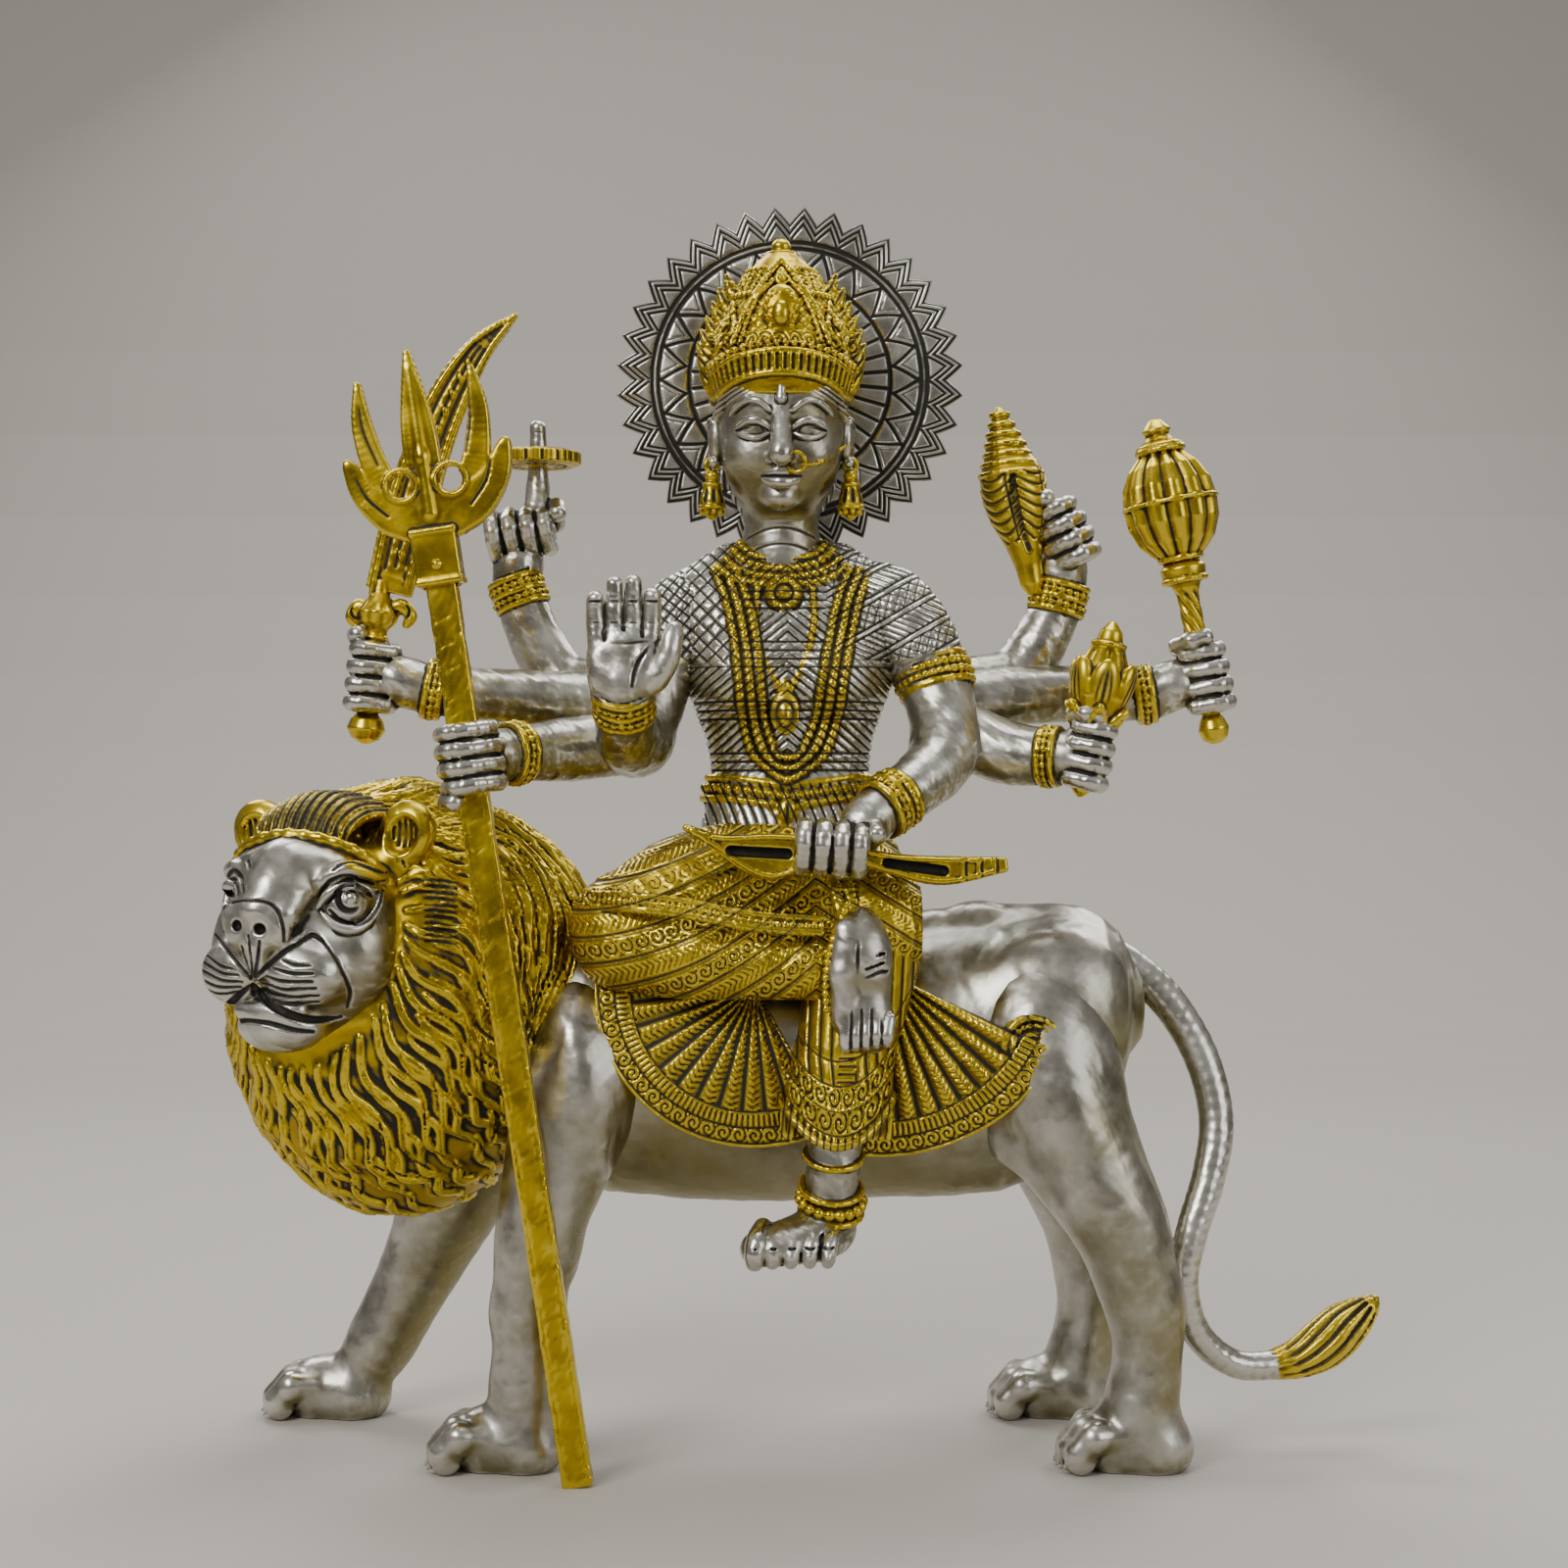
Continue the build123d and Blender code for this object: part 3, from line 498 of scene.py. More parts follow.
def paw(clay, heel, y, length=53.0):
    """Long foot with four clawed toes towards -X, and a flat sole."""
    toe = heel - length
    clay.rope([(heel - 15, y, 12, 15), (toe + 24, y, 11, 14)], soft=5)
    clay.egg((heel - 12, y, 8), (14, 14.5, 11), soft=5)
    for i in range(4):
        yy = y + (i - 1.5) * 6.9
        front = toe + (2.0 if i in (0, 3) else 0)
        clay.rope([(toe + 24, yy * 0.9 + y * 0.1, 15, 5), (front + 13, yy, 14.5, 6.2),
                   (front + 6.5, yy, 8.5, 5.6)], soft=2)
        clay.egg((front + 7.5, yy, 6.5), (6.4, 5.2, 6.5), soft=1.2)
        clay.rope([(front + 4, yy, 7, 1.7), (front + 0.6, yy, 2.4, 0.7)], soft=0.4)
        if i < 3:
            clay.score([(toe + 18, yy + 3.45, 18, 0.7), (toe + 9, yy + 3.45, 15, 0.9),
                        (toe + 3.5, yy + 3.45, 7, 0.8),
                       (toe + 4, yy + 3.45, 1, 0.8)], soft=0.8)
    clay.flat(2, 0.05, above=False)


def leg(name, low, high, heel, y, stations, bulges=()):
    clay = Clay(low, high, 0.85)
    clay.rope(stations, soft=4, turns=4)
    for centre, radii, tip in bulges:
        clay.egg(centre, radii, soft=9, axes=axes_of(tip=tip))
    paw(clay, heel, y)
    clay.relief(lambda p: 0.18 * noise(p, 13, 8) + 0.07 * noise(p, 4, 9))
    clay.dirt = 0.45
    clay.flat(2, 0.05, above=False)
    clay.cast(name + "_sculpt", SILVER, name)


def make_legs():
    leg("lion_front_leg_near", (-158, -58, -2), (-55, 20, 200), -97, -33,
        [(-82, -12, 168, 24), (-90, -20, 150, 25), (-97, -26, 124, 20.5), (-105, -32, 96, 16),
         (-108, -33, 76, 13.5),
         (-110, -33, 52, 12), (-112, -33, 24, 13)],
        [((-88, -26, 158), (17, 15, 34), -8), ((-100, -36, 96), (9, 9, 20), -10),
         ((-113, -33, 62), (9, 10, 10), 0),
         ((-104, -33, 40), (8, 8, 26), 3), ((-86, -38, 146), (6, 7, 30), -12),
         ((-104, -34, 128), (7, 12, 26), -14)])
    leg("lion_front_leg_far", (-240, 5, -2), (-100, 74, 162), -179, 50,
        [(-126, 32, 140, 24), (-137, 38, 118, 22), (-150, 44, 92, 19.5), (-160, 48, 72, 16.5),
         (-170, 50, 52, 14.5),
         (-184, 50, 26, 14)],
        [((-150, 42, 96), (16, 15, 26), 33), ((-164, 50, 62), (10, 10, 12), 30)])
    leg("lion_hind_leg_near", (56, -58, -2), (160, 18, 212), 151, -33,
        [(90, -10, 182, 24), (96, -17, 162, 28), (104, -24, 134, 25), (117, -29, 110, 20),
         (126, -32, 92, 17),
         (131, -33, 72, 14.5), (135, -33, 52, 12.3), (134, -33, 34, 12.5), (131, -33, 18, 14)],
        [((98, -24, 160), (22, 16, 34), -12), ((86, -22, 138), (14, 14, 20), 20),
         ((139, -33, 64), (9, 9.5, 13), 0),
         ((114, -40, 106), (12, 8, 15), -30), ((104, -38, 140), (9, 8, 26), -16)])
    leg("lion_hind_leg_far", (56, -4, -2), (142, 74, 205), 131, 50,
        [(90, 24, 176, 24), (95, 30, 158, 26), (103, 37, 130, 23), (112, 43, 104, 18.5),
         (119, 47, 84, 15.5),
         (122, 50, 64, 13.5), (122, 50, 44, 12), (117, 50, 18, 14)],
        [((96, 38, 152), (20, 15, 32), -12), ((127, 50, 62), (9, 9.5, 12), 0)])


def make_tail():
    clay = Clay((96, -34, 22), (240, 22, 214), 0.85)
    way = [(104, 8, 201, 12), (120, 8, 200, 9.5), (133, 8, 195, 8), (148, 4, 182, 7.4), (161, -2, 160, 7.2),
           (166.5, -8, 135, 7), (162.5, -14, 112, 6.8), (154.5, -20, 90, 6.4), (151, -22, 70, 6),
           (157, -20, 50, 5.8),
           (173, -16, 37, 5.6), (193, -12, 36, 5.8)]
    clay.rope(way, soft=0.5, turns=5)
    tuft = [(190, -12, 36, 6), (200, -11, 38.5, 8), (210, -9.5, 44, 10), (219, -8, 51, 9.2),
            (227, -6.8, 57, 5.5),
            (231.4, -6, 61, 1.7)]
    clay.rope(tuft, soft=0.6, turns=5, paint="gold")
    line = smooth(tuft, 5)
    for k in range(11):
        turn = k / 11 * 2 * math.pi
        rows = []
        for i, (x, y, z, r) in enumerate(line):
            a = turn + i * 0.035
            side = np.array([-0.55, 0.0, 0.83]) * math.cos(a) + np.array([0.0, 1.0, 0.0]) * math.sin(a)
            rows.append([*(np.array([x, y, z]) + side * r), 0.9 if 3 < i < len(line) - 4 else 0.35])
        clay.score(rows, soft=0.7)
    clay.relief(lambda p: 0.1 * noise(p, 5, 2))
    clay.dirt = 0.6
    clay.cast("lion_tail_sculpt", SILVER, "lion_tail")


LION = np.array([-193.0, -29.0, 211.0])
SIDE = np.array([math.cos(math.radians(17)), -math.sin(math.radians(17)), 0])
BACK = np.array([math.sin(math.radians(17)), math.cos(math.radians(17)), 0])

# Lines of the lion's face, as (x, z, radius) in the plane y = 0 seen from the front viewpoint.
EYES = [
    [(-198.0, 224.0, 0.5), (-195.2, 228.8, 0.8), (-191.3, 231.3, 0.9), (-186.2, 232.3, 0.9),
     (-181.2, 231.3, 0.9),
     (-176.1, 229.5, 0.8), (-171.1, 230.4, 0.5)],
    [(-195.5, 221.1, 0.5), (-191.9, 224.8, 0.8), (-188.5, 228.3, 0.8), (-184.6, 229.2, 0.8),
     (-180.1, 227.4, 0.8),
     (-176.9, 224.8, 0.9), (-172.0, 226.5, 0.5)],
    [(-194.0, 218.7, 0.5), (-190.2, 214.7, 0.8), (-184.6, 212.8, 0.8), (-179.0, 214.2, 0.8),
     (-174.5, 218.7, 0.7),
     (-172.0, 225.4, 0.6)],
    [(-192.4, 234.9, 0.5), (-189.1, 237.5, 0.7), (-184.6, 238.3, 0.7), (-179.0, 236.4, 0.7),
     (-173.3, 234.1, 0.6),
     (-169.4, 233.8, 0.4)],
    [(-236.2, 230.8, 0.6), (-233.4, 234.8, 0.9), (-229.9, 231.9, 0.9), (-229.0, 226.0, 0.7)],
    [(-235.9, 226.5, 1.6), (-234.3, 225.6, 1.4), (-233.3, 224.0, 0.8)],
    [(-232.6, 229.9, 0.5), (-231.5, 227.6, 0.6), (-231.3, 224.8, 0.5)],
    [(-227.4, 238.9, 0.7), (-226.5, 235.7, 0.7)],
]
NOSE = [
    [(-237.3, 218.7, 0.4), (-235.6, 221.1, 0.6), (-227.2, 222.5, 0.5), (-219.4, 221.6, 0.6),
     (-215.3, 218.4, 0.7),
     (-212.9, 211.7, 0.6), (-212.4, 205.7, 0.5)],
    [(-208.1, 204.3, 0.9), (-214.9, 199.6, 1.0), (-220.7, 194.0, 0.9), (-224.4, 190.4, 0.8)],
    [(-240.7, 208.8, 0.6), (-235.1, 201.6, 0.6), (-229.5, 194.5, 0.6), (-226.1, 190.4, 0.6)],
    [(-229.7, 203.5, 0.6), (-227.8, 197.3, 0.6), (-225.6, 190.6, 0.5)],
    [(-227.0, 208.3, 0.4), (-226.1, 198.5, 0.5), (-225.1, 190.6, 0.5)],
    [(-222.5, 205.7, 0.5), (-223.2, 198.5, 0.6), (-224.5, 190.6, 0.6)],
    [(-208.1, 203.7, 0.8), (-203.9, 207.2, 0.9), (-200.3, 208.3, 0.9), (-196.9, 206.1, 0.7)],
    [(-196.9, 206.1, 0.5), (-191.9, 199.6, 0.6), (-187.9, 191.7, 0.6), (-185.5, 185.0, 0.7),
     (-186.6, 178.8, 0.5)],
]
WHISKERS = [
    [(-213.2, 198.2, 0.4), (-208.1, 196.3, 0.6), (-201.4, 195.9, 0.4)],
    [(-217.1, 194.9, 0.4), (-209.3, 192.7, 0.7), (-200.6, 192.6, 0.5)],
    [(-219.4, 191.4, 0.4), (-211.5, 189.2, 0.7), (-200.8, 189.4, 0.5)],
    [(-220.7, 188.6, 0.4), (-212.6, 186.1, 0.7), (-199.5, 186.6, 0.5)],
    [(-221.0, 186.1, 0.4), (-211.5, 183.0, 0.7), (-198.4, 183.7, 0.5)],
    [(-220.3, 183.5, 0.4), (-210.4, 180.2, 0.7), (-198.4, 181.1, 0.5)],
    [(-244.1, 200.1, 0.4), (-238.4, 195.9, 0.6), (-233.4, 194.5, 0.4)],
    [(-245.2, 197.3, 0.5), (-238.4, 193.0, 0.6), (-231.1, 191.9, 0.4)],
    [(-245.7, 194.0, 0.5), (-238.4, 190.0, 0.6), (-229.5, 189.2, 0.4)],
    [(-246.3, 190.6, 0.5), (-239.6, 187.2, 0.6), (-230.0, 187.2, 0.4)],
    [(-246.1, 187.6, 0.5), (-239.6, 184.4, 0.6), (-231.1, 185.3, 0.4)],
]
MOUTH = [
    [(-225.2, 188.1, 0.8), (-231.7, 183.0, 1.3), (-236.8, 178.0, 1.4), (-239.8, 175.6, 0.8)],
    [(-224.5, 187.7, 0.8), (-219.4, 181.6, 1.6), (-212.6, 176.9, 1.7), (-204.8, 174.4, 1.5),
     (-196.9, 173.8, 1.2),
     (-189.4, 174.9, 0.7)],
    [(-238.4, 172.0, 0.6), (-234.0, 173.1, 0.9), (-226.1, 173.3, 0.8), (-218.2, 172.2, 0.9),
     (-208.1, 169.5, 0.9),
     (-200.3, 168.8, 0.6)],
    [(-225.0, 188.4, 0.9), (-224.5, 184.4, 1.2)],
]


def seen(clay, points, lift=0.0, turns=4):
    """Stations on the clay's skin where the front viewpoint sees the given lines."""
    line = np.array([(x, 0.0, z, r) for x, z, r in points])
    line = smooth(line, turns) if turns else line
    ys = np.arange(-80, 30, 0.35)
    share = (ys - VIEWER[1]) / -VIEWER[1]
    out = []
    for x, _, z, r in line:
        path = np.stack([VIEWER[0] + (x - VIEWER[0]) * share, ys, VIEWER[2] + (z - VIEWER[2]) * share], 1)
        inside = clay.sample(clay.d, path) < 0
        if inside.any():
            p = path[np.argmax(inside)].copy()
            p[1] -= lift
            out.append([*p, r])
    return out


def face(u, v, w, *r):
    """A point in the lion's face: u towards its near side, v backwards, w up."""
    return [*(LION + u * SIDE + v * BACK + np.array([0, 0, w])), *r]


# Strands in each layer of the mane, how far out they root (in face sizes) and their length in steps.
MANE_LAYERS = [(50, 1.04, 30), (60, 1.25, 32), (64, 1.5, 32), (64, 1.8, 32), (60, 2.1, 30), (54, 2.45, 28),
               (48, 2.85, 26), (40, 3.3, 22)]


def make_mane():
    clay = Clay((-243, -56, 86), (-72, 58, 282), 0.82)
    centre, radii = np.array([-164.0, 0.0, 183.0]), np.array([69.0, 49.5, 87.0])
    clay.egg(centre, radii + 1.1)
    clay.egg((-122, 6, 196), (40.5, 43.5, 58.5), soft=10, axes=axes_of(tip=-12))
    clay.relief(lambda p: 1.2 * noise(p, 20, 4))
    away = -BACK
    strands = []
    base = clay.d.copy()
    for layer, (count, first, length) in enumerate(MANE_LAYERS):
        for k in range(count):
            a = (k + 0.5 * (layer % 2) + rng.uniform(-0.2, 0.2)) / count * 2 * math.pi
            p = LION + SIDE * 36 * first * math.cos(a) + np.array([0, 0, 44 * first * math.sin(a)])
            p = p - away * (first - 1) * 30
            rows = []
            wave = 1.9 * layer + 2.4 * math.sin(a * 2) + rng.uniform(-.35, .35)
            thick = rng.uniform(1.8, 2.7)
            steps = int(length * rng.uniform(0.85, 1.1))
            for i in range(steps):
                k0 = np.sqrt((((p - centre) / radii)**2).sum())
                p = centre + (p - centre) / max(k0, 1e-6)
                n = unit((p - centre) / radii**2)
                for _ in range(3):
                    p = p + n * max(0.0, -float(clay.sample(base, p[None])[0]))
                t = i / (steps - 1)
                rows.append([*p, thick * (0.6 + 0.5 * math.sin(math.pi * min(t * 1.15, 1)))
                             * (1 - 0.5 * t)])
                out = p - (LION + away * 10)
                out = unit(out - away * (out @ away))
                curl = np.cross(n, out) * 0.6 * math.sin(wave + i * 0.34)
                flow = out * 0.7 - away * 0.5 + np.array([0, 0, -0.65]) + curl
                p = p + unit(flow) * 2.5
            strands.append(rows)
    for rows in strands:
        if len(rows) > 3:
            clay.rope(rows, soft=0.35)
    for rows in strands:
        q = np.array(rows[1:-2])
        if len(q) < 4:
            continue
        n = (q[:, :3] - centre) / radii**2
        n /= np.linalg.norm(n, axis=1)[:, None]
        along = np.gradient(q[:, :3], axis=0)
        sideways = np.cross(n, along)
        sideways /= np.linalg.norm(sideways, axis=1)[:, None] + 1e-9
        line = q[:, :3] + n * q[:, 3:] * 0.95 + sideways * q[:, 3:] * rng.uniform(-.3, .3)
        clay.rope(np.column_stack([line, np.full(len(q), 0.55)]), soft=0.3, cut=True)
    # short level hatches beside the near cheek
    for k in range(11):
        z = 231.0 - k * 2.5
        clay.score(seen(clay, [(-155.2, z, .5), (-149, z - .3, .7), (-142, z - 1.2, .5)]), soft=.3)
    clay.egg(face(0, 2, -2)[:3], (34, 33, 40), cut=True, axes=axes_of(turn=-17))
    clay.flat(0, -234.9, above=False)
    clay.dirt = 0.75
    clay.cast("mane_sculpt", GOLD, "lion_mane")


def ears_and_locks(clay):
    """Ears with thick notched rims and a lined hollow, and the hair between them."""
    for s in (-1, 1):
        clay.rope([face(s * 23 + 5, 6, 24, 12), face(s * 31 + 5, 6, 36, 10)], soft=6, paint="gold")
        clay.egg(face(s * 32 + 5.5, 3, 40)[:3], (12.0, 7, 13.0), soft=3, paint="gold",
                 axes=axes_of(turn=-17, tip=s * 22))
        clay.egg(face(s * 32 + 5.8, -5.2, 39.5)[:3], (8.0, 5, 9.0), soft=1.2, cut=True,
                 axes=axes_of(turn=-17, tip=s * 22))
        for k in range(22):
            t = math.radians(-40 + k * 12)
            q = face(s * (32 + 9.6 * math.sin(t)) + 5.5, -3.6, 40 + 10.6 * math.cos(t))
            n = face(s * (32 + 12.4 * math.sin(t)) + 5.5, -1.2, 40 + 13.4 * math.cos(t))
            clay.score([[*q, .4], [*n, .45]], soft=.3)
        for k in range(5):
            clay.score([face(s * (27.5 + k * 2.4) + 5.5, -0.6, 34, .5),
                        face(s * (28 + k * 2.4) + 5.5, -0.6, 45, .5)], soft=.3)
    rim = [(-35, 6, 4), (-33, -5, 21), (-23, -17, 34), (0, -23, 39.5), (23, -17, 34), (33, -5, 21),
           (35, 6, 4)]
    clay.rope([face(*p, 2.2) for p in rim], soft=1.5, paint="gold", turns=4)
    # locks that sweep up and back from the brow between the ears
    for k in range(11):
        u = -17 + k * 3.4
        lean = 0.4 * u + 5
        top = 0.02 * u * u
        path = [(u, -20 + 0.018 * u * u, 39 - top), (u + lean * .2, -14, 47 - top),
                (u + lean * .5, -4, 53.5 - 1.2 * top),
                (u + lean * .8, 10, 55 - 1.3 * top)]
        clay.rope([face(*p, r) for p, r in zip(path, (1.6, 2.4, 2.7, 2.2))], soft=.5, paint="gold", turns=4)
        for d, r in ((1.9, .75), (0, .4)):
            clay.score([face(p[0] + d, p[1] - 1.2, p[2] + h, r)
                        for p, h in zip(path, (.6, 1.7 if d else 2.6, 1.9 if d else 2.9, 1.4))],
                       soft=.4, turns=4)


def make_lion_head():
    clay = Clay((-240, -76, 156), (-140, 22, 268), 0.6)
    turn = axes_of(turn=-17)

    def egg(u, v, w, radii, **more):
        clay.egg(face(u, v, w), radii, axes=turn, **more)

    egg(0, 2, 4, (37, 35, 38.5))
    egg(0, -4, -14, (34, 29, 29), soft=10)
    egg(0, -20, 24, (27, 13, 12), soft=10)
    for s in (-1, 1):
        egg(s * 24, -13, -6, (13, 14, 18), soft=9)
    clay.rope([face(0, -26, 27, 10), face(-2, -31, 18, 10.5), face(-4, -35, 11, 10.5)], soft=7)
    for s in (-1, 1):
        clay.rope([face(s * 9 - 2, -27, 24, 5), face(s * 10 - 4, -33, 15, 5.5),
                   face(s * 11 - 5, -37, 9, 5)], soft=4)
        egg(s * 15.3 - 3.6, -27.0, -13.5, (15.4, 13.8, 13.6), soft=4.0)
        egg(s * 9 - 4, -33, -11, (9.5, 8, 11), soft=5)
        # socket, ball and lids
        out = unit(SIDE * s * 0.56 - BACK * 0.83)
        across = np.cross(out, (0, 0, 1.0)) * -s
        spot = np.array(face(25.5 if s > 0 else -21.5, -25, 12.5))
        clay.egg(spot + out * 4.5, (11, 11, 8), soft=5, cut=True)
        clay.egg(spot - out * 6.4, 9.8, soft=2.5)
        rim = [spot + out * (3.2 - 0.028 * (a * a)) + across * a + np.array((0, 0, w)) for a, w in
               ((-11.5, -1), (-7, 5.2), (0, 7.6), (7, 6.2), (13.5, 4.2))]
        clay.rope([[*q, r] for q, r in zip(rim, (.9, 1.3, 1.5, 1.3, .8))], soft=1.2, turns=4)
        rim = [spot + out * (3.0 - 0.028 * (a * a)) + across * a + np.array((0, 0, w)) for a, w in
               ((-10, -2.6), (-5, -7.4), (1, -9.2), (7, -7.2), (11.6, -1.5), (13.5, 3.8))]
        clay.rope([[*q, r] for q, r in zip(rim, (.8, 1.4, 1.6, 1.4, 1.2, .8))], soft=1.2, turns=4)
        rim = [spot + out * (1.4 - 0.028 * (a * a)) + across * a + np.array((0, 0, w)) for a, w in
               ((-9, 9.5), (-1, 14.2), (8, 13), (15, 9.6))]
        clay.rope([[*q, 1.7 if s > 0 else 0.9] for q in rim], soft=3.5, turns=4)
    clay.rope([face(-15, -37.5, 8, 4), face(-5, -40.5, 11, 5), face(5, -38.5, 9, 4)], soft=3)
    egg(-5, -39.5, 2.5, (13.5, 5.5, 8), soft=3.5)
    clay.rope([face(-4.5, -40.5, -3, 4.2), face(-4.5, -41, -13, 2.4)], soft=4)
    egg(-2, -25, -34, (18, 14, 11), soft=4)
    egg(-3, -33.5, -28, (15, 6, 5.2), soft=3)
    for line in NOSE + WHISKERS + MOUTH + EYES:
        clay.score(seen(clay, line), soft=.35)
    for x, z in ((-231.9, 212.2), (-222.6, 210.8)):
        q = seen(clay, [(x, z, 2.0)], turns=0)[0]
        clay.egg(q[:3], (2.3, 3, 2.1), soft=.6, cut=True, paint="ink")
    q = np.array(seen(clay, [(-185.1, 223.4, 1)], turns=0)[0][:3])
    look = unit((-q[0] * 0.001 - 0.05, -1, 0.02))
    clay.ring(q + look * 0.4, look, 5.0, 1.15, soft=.3, paint="ink", cut=True)
    clay.egg(q - look * 0.2, (2.5, 1.8, 2.5), soft=.3)
    ears_and_locks(clay)

    def tint(p):
        q = p - LION
        w, v, u = q[:, 2], q @ BACK, q @ SIDE
        cap = w - (38.5 - 0.015 * u**2 - np.maximum(v + 22, 0) * 0.55)
        beard = np.clip((v + 6) / 6, 0, 1) * (np.abs(u) > 30)
        return np.maximum(np.maximum(clay.sample(clay.paint["gold"], p) < .35, np.clip(cap + .5, 0, 1)),
                          beard)

    clay.relief(lambda p: 0.12 * noise(p, 6, 1))
    clay.cast("lion_face", SILVER, "lion_head", gold=tint)


# ---- helpers for the goddess ----------------------------------------------------------------------
HEAD = np.array([-9.5, -8.0, 410.0])


def at(u, v, w, *r):
    """A point in her head's frame: u to the viewer's right, v backwards, w up."""
    return [HEAD[0] + u, HEAD[1] + v, HEAD[2] + w, *r]


def both(clay, stations, **more):
    """The same rope on both sides of her head."""
    for s in (-1, 1):
        clay.rope([at(s * u, *rest) for u, *rest in stations], **more)


def spaced(path, gap, turns=12):
    """Evenly spaced points along a smooth path."""
    line = smooth(path, turns)
    run = np.concatenate([[0], np.cumsum(np.linalg.norm(np.diff(line[:, :3], axis=0), axis=1))])
    at_run = np.linspace(0, run[-1], max(2, int(run[-1] / gap)) + 1)
    return np.stack([np.interp(at_run, run, line[:, k]) for k in range(line.shape[1])], 1)


def beads(clay, path, radius, gap, paint="gold", soft=0.25, long=1.0):
    for q in spaced(path, gap):
        clay.egg(q[:3], (radius * long, radius, radius), soft=soft, paint=paint)


def around(p, origin, axis):
    """Height, radius and angle of points round an axis."""
    axis = unit(axis)
    side = unit(np.cross(axis, (0.0, 1.0, 0.05)))
    other = np.cross(axis, side)
    q = p - np.array(origin, float)
    h = q @ axis
    a, b = q @ side, q @ other
    return h, np.hypot(a, b), np.arctan2(b, a)


def bangle(clay, centre, axis, radius, rows=3, oval=1.0):
    """Plain rings with a beaded one between them."""
    n = unit(axis)
    for k in range(rows):
        c = np.array(centre, float) + n * (k - (rows - 1) / 2) * 2.7
        if k % 2 == 0:
            clay.ring(c, n, radius + 0.2, 1.5, oval=oval)
            for s in (-1, 1):
                clay.ring(c + n * s * 1.7, n, radius + 1.1, 0.35, soft=0.2, cut=True, paint="ink",
                          oval=oval)
        else:
            clay.ring(c, n, radius + 0.5, 1.7, beads=int(radius * 2.1), oval=oval)


def grip(clay, centre, rod, knuckles, rod_radius, start=-75, end=150, finger=3.6, width=7.2, thumb=1):
    """A hand closed round a rod: palm, four wrapped fingers with dark lines between them, and a thumb."""
    c = np.array(centre, float)
    r = unit(rod)
    k = unit(np.array(knuckles, float) - r * (np.array(knuckles, float) @ r))
    s = np.cross(r, k)
    m = np.array([r, k, s])
    clay.egg(c - k * 3, (14.5, 9.5, 10), soft=2, axes=m)
    ring = rod_radius + finger * 0.95
    for i in range(4):
        o = c + r * (i - 1.5) * width
        size = finger * (1.0, 1.06, 1.03, 0.9)[i]
        rows = []
        for t in np.radians(np.linspace(start, end, 12)):
            bulge = 1 + 0.09 * math.cos(3.2 * (t - 0.1))
            rows.append([*(o + (k * math.cos(t) + s * math.sin(t)) * ring * bulge),
                         size * (0.97 + 0.05 * math.cos(3.2 * t))])
        clay.rope(rows, soft=0.8)
        if i < 3:
            o = o + r * width / 2
            clay.score([[*(o + (k * math.cos(t) + s * math.sin(t)) * (ring + finger * 0.62)), 0.85]
                       for t in np.radians(np.linspace(start + 15, end, 9))], soft=0.6)
    rows = []
    for t, off in ((-150, -1.2), (-110, -0.4), (-60, 0.5), (-20, 1.0)):
        a = math.radians(t)
        rows.append([*(c + (k * math.cos(a) + s * math.sin(a)) * (ring + 0.5) + r * thumb
                       * (width * 2.15 + off)), 3.7])
    clay.rope(rows, soft=1.2)


def arm(name, low, high, stations, bands=(), hand=None, more=None, joints=(), node=None, sleeve=None,
        dark=None):
    clay = Clay(low, high, 0.62)
    clay.rope(stations, soft=1.5, turns=5)
    for centre, radii in joints:
        clay.egg(centre, radii, soft=5)
    if hand:
        grip(clay, *hand)
    for band in bands:
        bangle(clay, *band)
    if more:
        more(clay)
    clay.relief(lambda p: 0.22 * noise(p, 9, 21) + 0.07 * noise(p, 2.6, 22))
    if sleeve:
        clay.relief(sleeve)
    clay.cast(name + "_sculpt", SILVER, node or name, dark=dark)
    return clay


# ---- the goddess's arms -----------------------------------------------------------------------------
def hatch(p, mask):
    """Grooves of a crosshatched sleeve, with the mask where the cloth is."""
    a = p[:, 0] * 0.62 + p[:, 2] * 0.78
    b = p[:, 0] * 0.78 - p[:, 2] * 0.62
    lines = np.maximum(groove(a / 3.6, 0.2), groove(b / 3.6, 0.2))
    return lines * mask


def cloth_left(p):
    """Sleeve of the blessing arm."""
    return np.clip((p[:, 2] - 322 + 0.35 * (p[:, 0] + 56)) / 1.5, 0, 1) * (p[:, 1] > -42)


def cloth_right(p):
    """Sleeve of the bow arm, down to its armband."""
    return np.clip((p[:, 2] - 321 - 0.25 * (p[:, 0] - 48)) / 1.5, 0, 1)


def drape_lines(p):
    """Slanting bands of the drape over the shoulder at the viewer's right."""
    s = -0.50 * p[:, 0] + 0.86 * p[:, 2]
    t = 0.86 * p[:, 0] + 0.50 * p[:, 2]
    band = groove(s / 10.5, 0.07)
    band = np.maximum(band, groove(s / 10.5 + 0.22, 0.06))
    inside = (np.abs((s / 10.5 + 0.11) - np.round(s / 10.5 + 0.11)) > 0.13).astype(float)
    odd = np.mod(np.floor(s / 10.5), 2)
    net = np.maximum(groove((t + s) / 4.6, 0.16), groove((t - s) / 4.6, 0.16))
    slant = np.where(odd > 0, groove((t + s * 0.8) / 2.9, 0.25), net)
    return np.maximum(band, slant * inside * 0.8)


